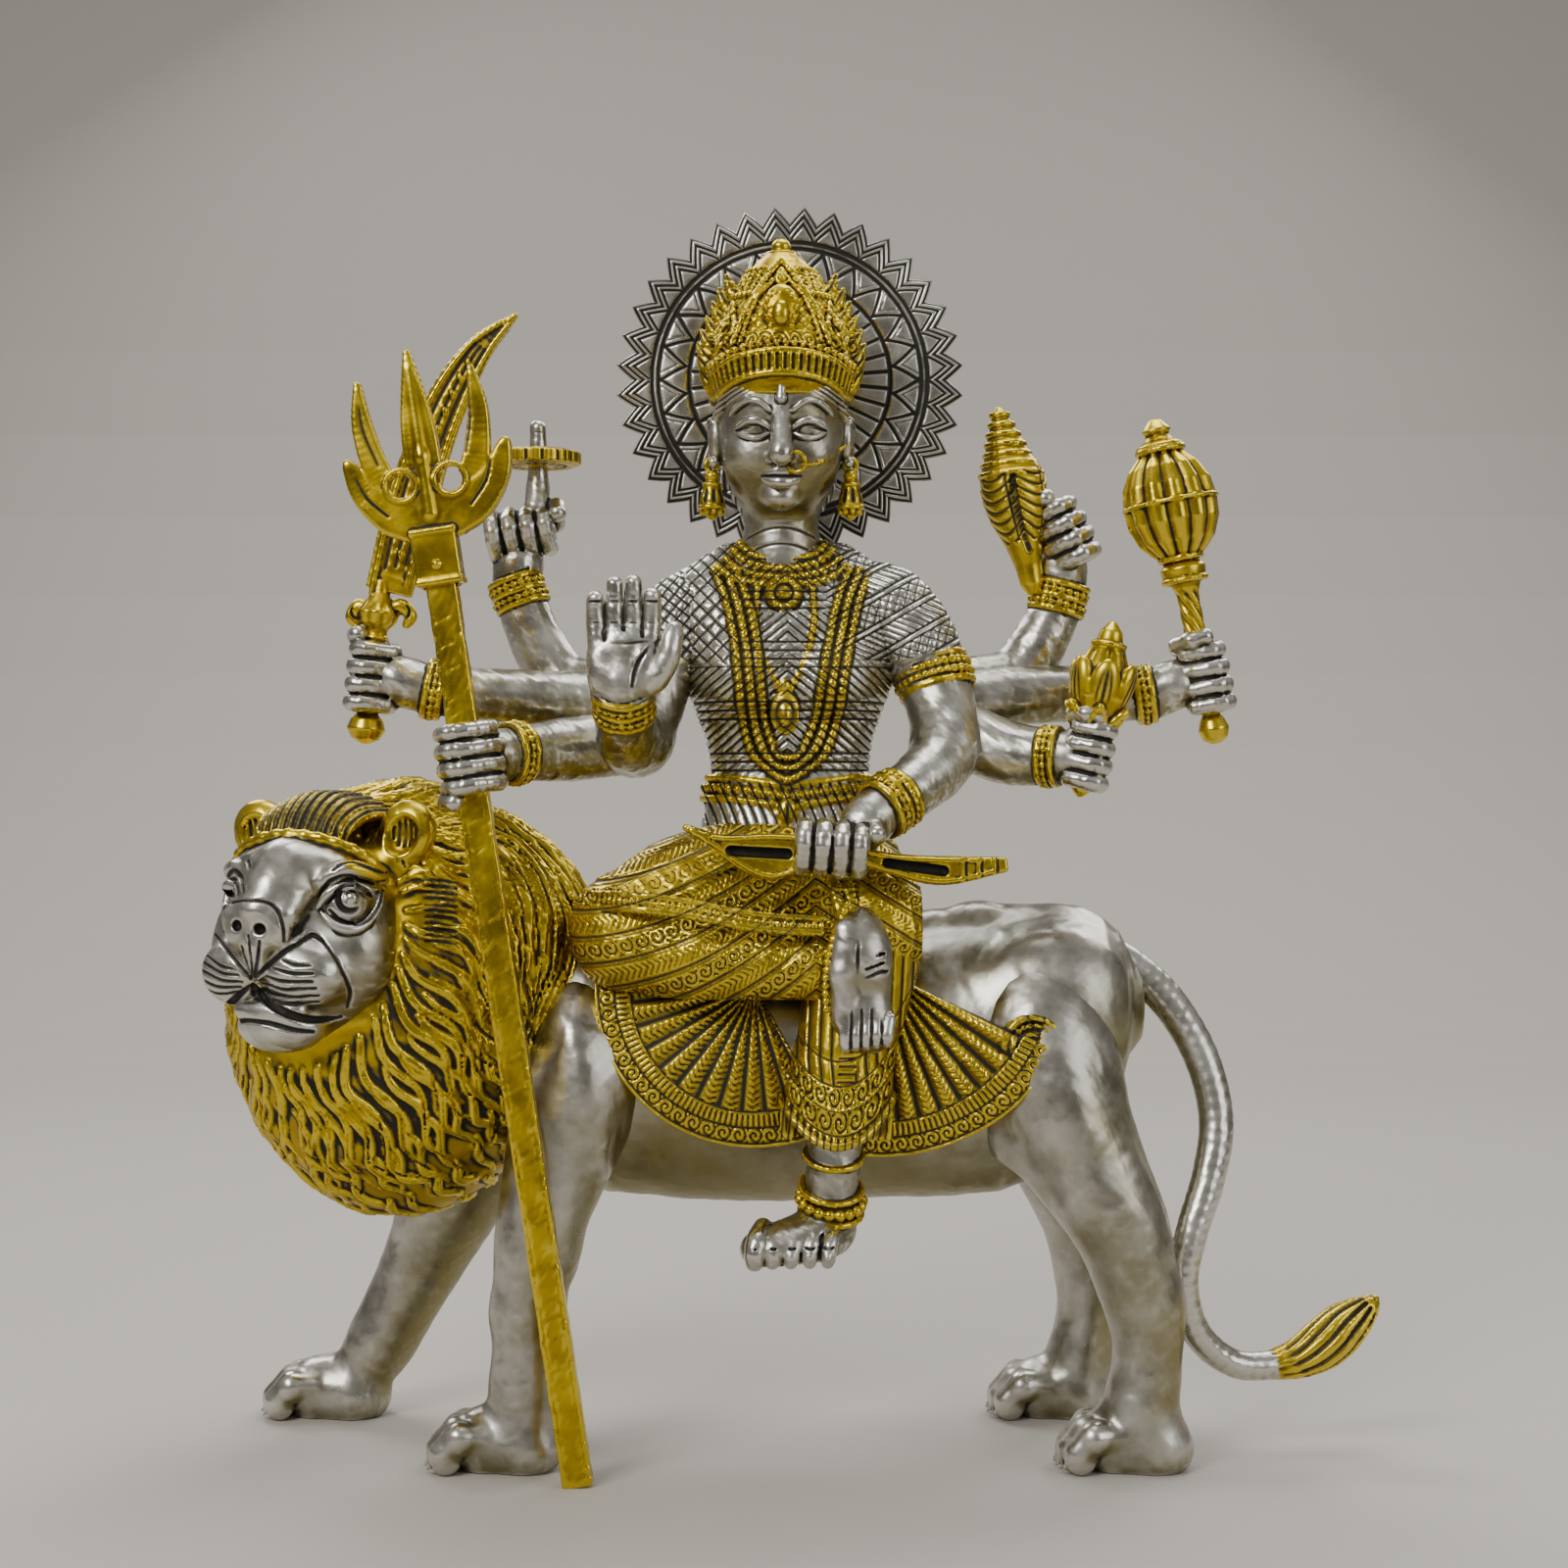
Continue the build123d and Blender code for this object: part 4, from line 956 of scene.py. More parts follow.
def make_arms():
    def palm(clay):
        m = axes_of(roll=6)
        clay.egg((-69.5, -63, 317), (14.5, 6.5, 15), soft=2, axes=m)
        clay.egg((-70, -63.5, 309), (12.5, 7, 11), soft=3)
        clay.egg((-61, -66, 314), (6, 5, 11), soft=2.5)
        clay.egg((-78, -65, 314), (5.5, 4.5, 10), soft=2.5)
        for k, (x, top) in enumerate(((-80.4, 344), (-73.2, 349.5), (-66.0, 350), (-58.9, 345))):
            clay.rope([(x * .96 - 2.8, -64, 324, 3.6), (x, -63.5, 332, 3.7), (x, -64.2, 338, 3.4),
                       (x + .2, -65.2, top - 3.4, 3.2)],
                      soft=0.6, turns=3)
            for z in (331.5, 339.5):
                clay.score([(x - 2.6, -67.6, z, .45), (x + 2.6, -67.6, z, .45)], soft=.3)
            if k < 3:
                clay.score([(x + 3.6, -67.5, 325, .8), (x + 3.6, -67.2, 346, .9)], soft=.5)
        clay.rope([(-58, -66, 309, 5), (-52.5, -67.5, 319, 4.2), (-50.5, -67, 329, 3.3)], soft=2, turns=4)
        clay.score([(-66, -71, 307, .6), (-64.5, -70.2, 315, .7), (-59.5, -69.6, 322.5, .6)], soft=.5,
                   turns=4)
        clay.score([(-81, -69.4, 324.6, .45), (-70, -69.6, 323.4, .45), (-58, -68.6, 324.6, .4)], soft=.3,
                   turns=3)

    arm("arm_blessing", (-92, -74, 264), (-30, 22, 368),
        [(-38, 0, 345, 12), (-50, -2, 340, 14.6), (-55, -6, 326, 15), (-61, -13, 308, 14),
         (-66, -22, 290, 13.4), (-69, -36, 287, 12.6),
         (-70, -50, 294, 11.2), (-70, -58, 302, 9.6), (-70, -61, 308, 9.6)],
        [((-70, -57.5, 301), (0, -0.62, 0.78), 10.6, 5)], more=palm,
        joints=[((-67, -24, 286), (13, 14, 12.5))],
        sleeve=lambda p: -0.7 * hatch(p, cloth_left(p)) + 0.5 * cloth_left(p),
        dark=lambda p: hatch(p, cloth_left(p)))

    def bow_sleeve(p):
        return drape_lines(p) * cloth_right(p)

    def armband(clay):
        for k, z in enumerate((318.5, 315.3, 311.8, 308.3)):
            n = unit((0.28, -0.22, -1))
            c = (52.5 - (z - 312) * 0.3, -8 + (z - 312) * 0.2, z)
            if k in (0, 3):
                clay.ring(c, n, 14.6, 1.6)
            else:
                clay.ring(c, n, 15.0, 1.9, beads=30)
        for k in range(3):
            clay.ring((52 - k * 0.2, -8, 316.9 - 3.5 * k), unit((0.28, -0.22, -1)), 16.1, .4, soft=.2,
                      cut=True, paint="ink")

    arm("arm_bow", (-8, -76, 226), (76, 20, 368),
        [(22, 0, 347, 13), (34, -2, 343, 15.5), (43, -5, 331, 16), (48, -7, 321, 15.2), (52, -9, 311, 14),
         (56, -16, 294, 13.4),
         (54, -26, 280, 13), (44, -38, 270, 11.4), (32, -48, 262, 10), (22, -54, 254, 9.6)],
        [((33, -47.5, 262.5), (-0.72, -0.55, -0.45), 11, 5)],
        hand=((10, -60, 246), (1, 0, -0.08), (0, -0.9, 0.45), 4.6, -60, 165), more=armband,
        joints=[((57, -20, 286), (13, 13, 13))],
        sleeve=lambda p: -0.75 * bow_sleeve(p) + 0.7 * cloth_right(p),
        dark=bow_sleeve)

    arm("arm_trident", (-152, -78, 258), (-60, 0, 304),
        [(-68, -24, 287, 12), (-84, -24, 285, 12.4), (-97, -28, 283.5, 12), (-112, -40, 282, 10.4),
         (-122, -50, 281, 9.5)],
        [((-113.5, -41.5, 282), (-0.72, -0.68, -0.05), 11, 3)],
        hand=((-129.8, -58, 279.8), (-0.15, 0, 0.99), (-0.35, -0.94, 0), 6.6, -80, 120, 3.5, 7.0, -1))
    arm("arm_sword", (-196, -40, 284), (-62, 16, 336),
        [(-66, -6, 303, 12), (-82, -6, 303, 12), (-100, -8, 304, 11.4), (-128, -12, 306, 10.4),
         (-150, -14, 308, 9.5),
         (-164, -16, 312, 10)],
        [((-149, -14, 308), (-1, -0.1, 0.2), 10.8, 3), ((-141, -13.4, 307), (-1, -0.1, 0.2), 10.6, 1)],
        hand=((-174, -16, 313), (6, 0, 56), (-0.55, -0.8, 0), 3.9, -80, 140))

    def finger(clay):
        clay.rope([(-110.5, 9, 384, 5), (-110, 12, 392, 4.6), (-110, 12, 400.2, 4.2)], soft=1.5)
        clay.rope([(-110, 12, 398, 3.5), (-110, 12, 411, 3.5), (-110, 12, 417, 3.4)], soft=0.3)
        clay.score([(-112.5, 8.4, 415, .4), (-107.5, 8.4, 415, .4)], soft=.3)

    arm("arm_chakra", (-138, -14, 290), (-60, 32, 424),
        [(-66, 3, 311, 12), (-84, 6, 309, 12.2), (-98, 9, 311, 12), (-108, 11, 324, 11),
         (-116, 13, 342, 9.8),
         (-119, 14, 352, 9.2), (-118, 14, 362, 10)],
        [((-118, 14, 349), (-0.35, 0.05, 1), 10.2, 5)],
        hand=((-117, 12, 374), (0.98, 0, 0.15), (0, -1, 0.25), 4.2, -75, 150), more=finger)
    arm("arm_lotus", (52, -48, 258), (134, 8, 308),
        [(58, -8, 296, 12), (70, -12, 287, 12.6), (84, -17, 282, 12.2), (96, -22, 281, 10.6),
         (106, -26, 280.5, 9.6)],
        [((98, -22.6, 281), (1, -0.42, -0.05), 11, 3)],
        hand=((112, -28, 281.5), (0.19, 0, 0.98), (0.45, -0.89, 0), 4.2, -80, 140, 3.6, 7.0))
    arm("arm_mace", (56, -22, 284), (190, 24, 336),
        [(60, 2, 303, 12), (84, 4, 306, 12), (110, 5, 307, 11), (138, 3, 306, 9.6), (152, 1, 311, 10)],
        [((139, 3, 306.5), (1, -0.1, 0.15), 10.8, 3)],
        hand=((163, 0, 313), (-24.5, 0, 127), (0.55, -0.83, 0.1), 4.6, -85, 135))
    arm("arm_conch", (54, -6, 290), (130, 34, 396),
        [(60, 9, 309, 12), (76, 11, 311, 12.2), (88, 13, 315, 12), (98, 14, 330, 11), (105, 15, 345, 9.8),
         (107, 14, 360, 10)],
        [((105.5, 15, 347), (0.25, 0, 1), 10.4, 5)],
        hand=((107, 11, 373), (-0.5, 0, 1), (0.15, -1, 0.15), 5.0, -80, 150))


# ---- the goddess's body -------------------------------------------------------------------------------
def chest_field(x, y, z):
    at = np.array([232, 240, 255, 268, 277, 288, 300, 312, 322, 334, 342, 350, 356, 362, 368], float)
    half_x = np.interp(z, at,
                       [39, 39, 36.5, 33.8, 32.5, 34, 38.5, 43.5, 46.5, 48, 48.5, 45, 38, 27,
                        16]).astype(np.float32)
    half_y = np.interp(z, at,
                       [30, 30, 27, 23, 21, 21.5, 23.5, 26, 27, 26, 24, 21, 18, 15, 13]).astype(np.float32)
    mid_x = np.interp(z, [236, 277, 322, 364], [-5, -6, -7, -9]).astype(np.float32)
    mid_y = np.interp(z, [236, 277, 322, 345, 368], [-3, -4, -2, 0, 1]).astype(np.float32)
    r = (np.abs((x - mid_x) / half_x)**2.3 + np.abs((y - mid_y) / half_y)**2.3)**(1 / 2.3)
    return (r - 1) * np.minimum(half_x, half_y) + np.maximum(np.maximum(234 - z, z - 366), 0)


def front(x, z):
    """The y of the chest's front at a place, so that jewellery lies on it."""
    y = np.linspace(-44, -6, 191)[:, None]
    x, z = np.atleast_1d(np.array(x, float))[None], np.atleast_1d(np.array(z, float))[None]
    d = chest_field(x, y, z)
    for s in (-1, 1):
        q = np.sqrt(((x - (-7 + s * 19)) / 18)**2 + ((y + 15.5) / 18.5)**2 + ((z - 313) / 17.5)**2)
        d = np.minimum(d, (q - 1) * 17)
    first = np.argmax(d < 0, axis=0)
    return y[first, 0]


def laid(points, radius, lift=0.0):
    """Stations on the chest's front through (x, z) points."""
    p = np.array(points, float)
    line = smooth(np.column_stack([p, np.zeros(len(p))]), 8)[:, :2]
    y = front(line[:, 0], line[:, 1])
    y = np.convolve(np.pad(y, 3, mode="edge"), np.ones(7) / 7, mode="valid")
    return np.column_stack([line[:, 0], y - lift, line[:, 1], np.full(len(line), radius)])


def hatch_torso(p):
    """Feathered black hatching of the blouse between the garlands."""
    x, z = p[:, 0], p[:, 2]
    side = np.abs(x + 7)
    feather = groove((z * 0.9 + side * 0.75) / 3.5, 0.22)
    lattice = np.maximum(groove((x + z) / 6.5, 0.12), groove((x - z) / 6.5, 0.12))
    shoulder = drape_lines(p)
    right = np.clip((x - 6 - (352 - z) * 0.15) / 2, 0, 1) * np.clip((z - 318) / 3, 0, 1)
    left = np.clip((-24 - x) / 2, 0, 1) * np.clip((z - 316) / 3, 0, 1)
    middle = np.clip((z - 272) / 2, 0, 1) * (1 - right) * (1 - left)
    rows = np.where(np.mod(np.floor((z - 272) / 11), 2) > 0, feather,
                    np.maximum(feather * 0.6, groove(z / 3.4, 0.2)))
    belly = np.clip((z - 244) / 2, 0, 1) * np.clip((272 - z) / 2, 0, 1)
    folds = groove((x + 0.3 * z + 1.2 * np.sin(z / 6)) / 4.0, 0.2)
    return shoulder * right + lattice * left + rows * middle + folds * belly


def garlands(clay):
    """Three bead rows a side that join in a U at the waist, and an inner V to a pendant."""
    def garland(s, o):
        """A string down one side of the chest, o mm outside the middle one."""
        return [(-5 + s * (27 + o), 356), (-5 + s * (22.5 + o), 344), (-5 + s * (19 + o), 328),
                (-5.5 + s * (16.6 + o), 312), (-6 + s * (14.6 + o), 297),
                (-6.5 + s * (10.4 + o * .9), 284 - o * .5), (-7 + s * 4.4, 277.5 - o * .95), (-7, 276 - o)]

    for s in (-1, 1):
        for k in (-1, 0, 1):
            beads(clay, laid(garland(s, k * 4.3), 1.0), 2.15 if k == 0 else 1.95, 3.3)
        for o in (-2.15, 2.15, 6.6, -6.6):
            clay.score(laid(garland(s, o), .5, 1.0), soft=.3)
        beads(clay, laid([(-8 + s * 11, 348), (-8 + s * 11.5, 335), (-8 + s * 8.5, 320),
                          (-8 + s * 2.5, 308)], 1), 1.5, 2.6)
    f = float(front(-8, 299)[0])
    clay.egg((-8, f - 1, 299), (5.6, 3.2, 9.2), soft=0.6, paint="gold")
    clay.egg((-8, f - 1, 309), (2.4, 2.4, 3.2), soft=0.6, paint="gold")
    clay.ring((-8, f - 2, 298), (0, 1, 0), 5.0, 0.9, oval=1.55, side=(1, 0, 0))
    clay.ring((-8, f - 3.6, 297.5), (0, 1, 0), 3.6, .5, oval=1.5, side=(1, 0, 0), cut=True, paint="ink")
    clay.egg((-8, f - 3.6, 297), (2.4, 1.4, 4.4), soft=0.3, paint="gold")


def choker(clay):
    """Bead rows round the neck and the round flower pendant."""
    for drop, r, size in ((0, 17.5, 1.7), (3.4, 20, 1.9), (7.0, 23, 1.7), (10.4, 26, 2.0)):
        row = []
        for t in np.radians(np.linspace(-80, 80, 30)):
            x = -9 + r * math.sin(t)
            zz = 360 - drop + 9.5 * (1 - math.cos(t))
            row.append([x, 0, zz, size])
        row = np.array(row)
        ys = np.linspace(-40, 4, 111)
        for q in row:
            line = np.stack([np.full(111, q[0]), ys, np.full(111, q[2])], 1)
            inside = clay.sample(clay.d, line) < 0
            q[1] = ys[np.argmax(inside)] if inside.any() else np.nan
        row = row[~np.isnan(row[:, 1])]
        if len(row) > 3:
            row[:, 1] = np.convolve(np.pad(row[:, 1], 2, mode="edge"), np.ones(5) / 5, mode="valid")
            beads(clay, row, size, size * 1.75)
    f = float(front(-8.5, 347)[0])
    clay.egg((-8.5, f - 1.2, 346), (7.6, 3.2, 7.6), soft=.8, paint="gold")
    clay.ring((-8.5, f - 3.2, 346), (0, 1, 0), 5.6, 1.25, beads=12)
    clay.egg((-8.5, f - 4, 346), (2.5, 1.6, 2.5), soft=.2, paint="gold")
    clay.ring((-8.5, f - 3.5, 346), (0, 1, 0), 3.5, .45, cut=True, paint="ink")
    clay.ring((-8.5, f - 2, 346), (0, 1, 0), 7.9, .5, cut=True, paint="ink")


def belt(clay):
    for k, z in enumerate((272.5, 268.4, 264.2)):
        row = []
        for t in np.radians(np.linspace(0, 360, 61)):
            row.append([-6 + (33.6 + k * 0.9) * math.cos(t), -4 + (21.6 + k * 1.2) * math.sin(t),
                        z - 3.5 * max(0, -math.sin(t)) * max(0, 1 - abs(math.cos(t)) * 1.4), 1.5])
        if k == 1:
            beads(clay, row, 2.1, 3.9)
        else:
            clay.rope(row, soft=.4, paint="gold")
    f = -27.5
    clay.rope([(-14, f, 262, 1.6), (-7, f - 1.2, 252, 2.2), (0, f, 262, 1.6)], soft=1, paint="gold",
              turns=3)
    clay.egg((-7, f - 1.4, 259), (4, 2.6, 5.5), soft=.8, paint="gold")
    clay.score([(-7, f - 3.6, 263, .5), (-7, f - 4, 255, .5)], soft=.3)


def make_torso():
    clay = Clay((-66, -46, 226), (56, 34, 376), 0.62)
    clay.blend((-62, -34, 234), (52, 30, 366), chest_field)
    for s in (-1, 1):
        clay.egg((-7 + s * 19, -15.5, 313), (18, 18.5, 17.5), soft=5)
        clay.rope([(-8.5 + s * 10, 2, 362, 9), (-8 + s * 22, 1, 357, 10), (-8 + s * 36, 0, 347, 12)],
                  soft=6)
    clay.rope([(-7, 20, 250, 2), (-8, 24, 300, 3), (-8, 22, 345, 2)], soft=7, cut=True)
    for s in (-1, 1):
        clay.rope([(-8 + s * 20, 16, 345, 9), (-8 + s * 24, 15, 322, 8)], soft=10)
    clay.relief(lambda p: -0.85 * hatch_torso(p) * (p[:, 1] < 26))
    garlands(clay)
    choker(clay)
    belt(clay)
    # a plait and shoulder cloth down the back
    for k in range(9):
        z = 352 - k * 10.5
        for s in (-1, 1):
            clay.rope([(-8 + s * 6.5, 24.5, z + 5, 2.6), (-8 + s * 4.6, 28.0, z, 4.4),
                       (-8, 28.2, z - 6, 3.4)], soft=1.6)
    clay.ring((-8, 27, 262), (0, 0, 1), 5.5, 1.5)
    clay.relief(lambda p: 0.16 * noise(p, 8, 31)
                - 0.5 * (p[:, 1] > 22) * (np.abs(p[:, 0] + 8) < 14)
                * groove((p[:, 2] + np.abs(p[:, 0] + 8) * 0.9) / 2.2, 0.3) + 0.06 * noise(p, 2.4, 32))
    clay.cast("torso_sculpt", SILVER, "goddess_torso",
              dark=lambda p: hatch_torso(p) * np.clip((-p[:, 1] + 8) / 4, 0.35, 1) * (p[:, 1] < 24))


# ---- her head -------------------------------------------------------------------------------------------
def make_face():
    clay = Clay(at(-34, -36, -64), at(34, 32, 46), 0.42)
    clay.egg(at(0, 0, 4), (26, 27, 33))
    clay.egg(at(0, -4, -14), (19.5, 19.5, 18), soft=8)
    for s in (-1, 1):
        clay.egg(at(s * 11.5, -14, -9), (10, 9.5, 10), soft=6)
        clay.egg(at(s * 10, -15, 16), (12, 9, 8), soft=7)
        clay.egg(at(s * 10.6, -30, 1), (8, 4.2, 5), soft=4, cut=True)
    clay.egg(at(0, -18.5, -26), (7, 6.3, 5.5), soft=4)
    clay.rope([at(0, 6, -30, 15), at(0, 8, -46, 15.5), at(0, 8, -60, 17)], soft=4)
    clay.rope([at(0, -25.4, 6, 2.5), at(0, -28.6, -3, 3.0), at(0, -30.6, -9, 3.3), at(0, -31, -11, 3.5)],
              soft=3, turns=3)
    both(clay, [(4.2, -27.6, -11.8, 2.6), (3.6, -28.2, -12, 2.4)], soft=1.5)
    for s in (-1, 1):
        clay.egg(at(s * 2.6, -30.3, -14.4), (1.3, 1.2, 0.8), soft=.5, cut=True, paint="ink")
        clay.egg(at(s * 10.6, -19.6, 0.4), (7.2, 6.6, 6.0), soft=1.0)
    # lids, brows, lips
    both(clay, [(4.4, -25.2, -0.6, .9), (7.5, -26.9, 2.6, 1.15), (11, -27.0, 3.6, 1.25),
                (14.6, -25.2, 2.6, 1.1), (18, -22.0, 0.2, .8)],
         soft=1.0, turns=4)
    both(clay, [(4.4, -25.2, -1.0, .7), (7.6, -26.4, -2.9, .8), (11, -26.5, -3.5, .85),
                (14.5, -24.6, -2.7, .7), (17.6, -22.2, -0.6, .6)],
         soft=1.0, turns=4)
    both(clay, [(4.8, -26.2, -0.8, .35), (7.6, -27.0, 0.3, .6), (11, -27.2, 0.7, .7),
                (14.4, -25.6, 0.3, .55), (17.8, -22.8, -0.3, .4)],
         soft=.3, cut=True, paint="ink", turns=4)
    both(clay, [(5.5, -27.3, 4.0, .3), (9, -27.8, 6.0, .45), (13.6, -26.2, 5.8, .45),
                (18.5, -22.0, 2.8, .3)],
         soft=.4, cut=True, paint="ink", turns=4)
    both(clay, [(4.6, -27.6, 7.2, .9), (8.5, -28.0, 10.6, 1.1), (13, -26.2, 11.4, 1.0),
                (17.5, -22.8, 9.2, .8), (20.5, -19.6, 6.2, .5)],
         soft=1.2, turns=4)
    both(clay, [(4.2, -28.4, 8.8, .35), (8.3, -28.8, 12.2, .5), (13.0, -27.0, 13.1, .5),
                (18, -22.8, 10.6, .35)],
         soft=.4, cut=True, paint="ink", turns=4)
    clay.rope([at(-7.8, -24.4, -18.6, .8), at(-4, -27.0, -17.4, 1.4), at(-1.4, -28.2, -16.7, 1.6),
               at(0, -28.0, -17.2, 1.4),
               at(1.4, -28.2, -16.7, 1.6), at(4, -27.0, -17.4, 1.4), at(7.8, -24.4, -18.6, .8)], soft=1.2,
              turns=3)
    clay.rope([at(-6.6, -24.8, -19.8, 1.1), at(0, -27.6, -21.2, 2.2), at(6.6, -24.8, -19.8, 1.1)], soft=1.4,
              turns=4)
    clay.score([at(-8.2, -25.2, -18.4, .4), at(-4, -28.3, -18.8, .5), at(0, -29.6, -19.0, .5),
                at(4, -28.3, -18.8, .5),
               at(8.2, -25.2, -18.4, .4)], soft=.3, turns=3)
    clay.rope([at(0, -29, -13.8, .8), at(0, -27.6, -16, .9)], soft=1.2, cut=True)
    # mark on the forehead
    clay.rope([at(0, -27.4, 12, 2.3), at(0, -27.0, 16, 1.7), at(0, -25.8, 22, .9)], soft=.8)
    both(clay, [(1.2, -28.9, 9.4, .3), (3.0, -28.3, 12, .4), (2.5, -28.0, 16, .4), (0.9, -27, 22.5, .3)],
         soft=.3, cut=True, paint="ink", turns=3)
    # ears, with lobes down to the earrings
    for s in (-1, 1):
        clay.egg(at(s * 26.4, 1, 0), (3.4, 6, 10.5), soft=1.5)
        clay.rope([at(s * 28, -2.5, 6.5, 1.2), at(s * 28.8, 2.4, 7.5, 1.4), at(s * 28.6, 5, 1.5, 1.3),
                   at(s * 27.8, 2, -6, 1.4), at(s * 27.4, -1.4, -10, 2.3)],
                  soft=.8, turns=3)
        clay.score([at(s * 29.6, -1.5, 4, .7), at(s * 29.8, 1.6, 3, .8), at(s * 29.4, 1, -4, .7)], soft=.5,
                   turns=3)
    # nose ring and its chain
    clay.ring(at(5.6, -30.4, -13.6), (0.2, 1, 0.2), 3.9, .75)
    chain = [at(8.6, -28.6, -14.5, 1), at(14, -24.2, -13.5, 1), at(20, -17.5, -9.5, 1),
             at(25.4, -8, -4.5, 1)]
    beads(clay, chain, .85, 1.7)
    # hair at the temples and the back
    both(clay, [(3, -23.6, 25.5, 2.2), (12, -22.2, 23.2, 2.6), (20, -15.6, 17, 2.8), (25, -7.5, 8, 2.6)],
         soft=1.2, turns=4)
    clay.egg(at(0, 14, -12), (23, 16, 24), soft=6)

    def hair(p):
        q = p - HEAD
        back = np.clip((q[:, 1] - 5) / 3, 0, 1) * np.clip((q[:, 2] + 34) / 4, 0, 1)
        temple = np.clip((np.abs(q[:, 0]) * 0.55 + q[:, 2] - 21.2) / 2, 0,
                         1) * (q[:, 2] > 4) * (q[:, 1] < 6)
        a = groove((np.abs(q[:, 0]) + 0.25 * q[:, 2] + 1.6 * np.sin(q[:, 2] / 7)) / 2.6, 0.3)
        b = groove((q[:, 2] + np.abs(q[:, 0]) * .5) / 2.1, 0.3)
        return a * back + b * temple

    def creases(p):
        q = p - HEAD
        height = q[:, 2] + 0.02 * q[:, 0]**2
        ring = sum(np.exp(-((height + drop) / .55)**2) for drop in (37, 43.5))
        return ring * (q[:, 1] < 0)

    clay.relief(lambda p: -0.75 * hair(p) - 0.5 * creases(p) + 0.05 * noise(p, 3, 41))
    clay.cast("head_sculpt", SILVER, "goddess_head", dark=lambda p: 0.8 * hair(p) + 0.8 * creases(p))


def make_earrings():
    clay = Clay(at(-36, -14, -40), at(36, 12, -2), 0.5)
    for s in (-1, 1):
        x = s * 28
        clay.ring(at(x, -1, -11), (0.3 * s, 1, 0), 2.7, .8)
        clay.egg(at(x, -1, -15.6), (3.0, 3.0, 2.6), soft=.3)
        clay.rope([at(x, -1, -17.5, 2.0), at(x, -1, -20.5, 3.6), at(x, -1, -25.5, 4.9),
                   at(x, -1, -27, 5.0)], soft=1)
        clay.ring(at(x, -1, -28.2), (0, 0, 1), 4.8, .9)
        clay.ring(at(x, -1, -19), (0, 0, 1), 3.5, .6)
        for t in np.linspace(0, 2 * math.pi, 8, endpoint=False):
            c, d = math.cos(t + .2), math.sin(t + .2)
            clay.score([at(x + 4.1 * c, -1 + 4.1 * d, -21.4, .6), at(x + 5.1 * c, -1 + 5.1 * d, -25.8, .8)],
                       soft=.3)
            clay.egg(at(x + 4.0 * c, -1 + 4.0 * d, -30.2), (1.15, 1.15, 1.4), soft=.3)
        clay.egg(at(x, -1, -31), (2.4, 2.4, 2.4), soft=.6)
    clay.cast("earrings_sculpt", GOLD, "earrings")


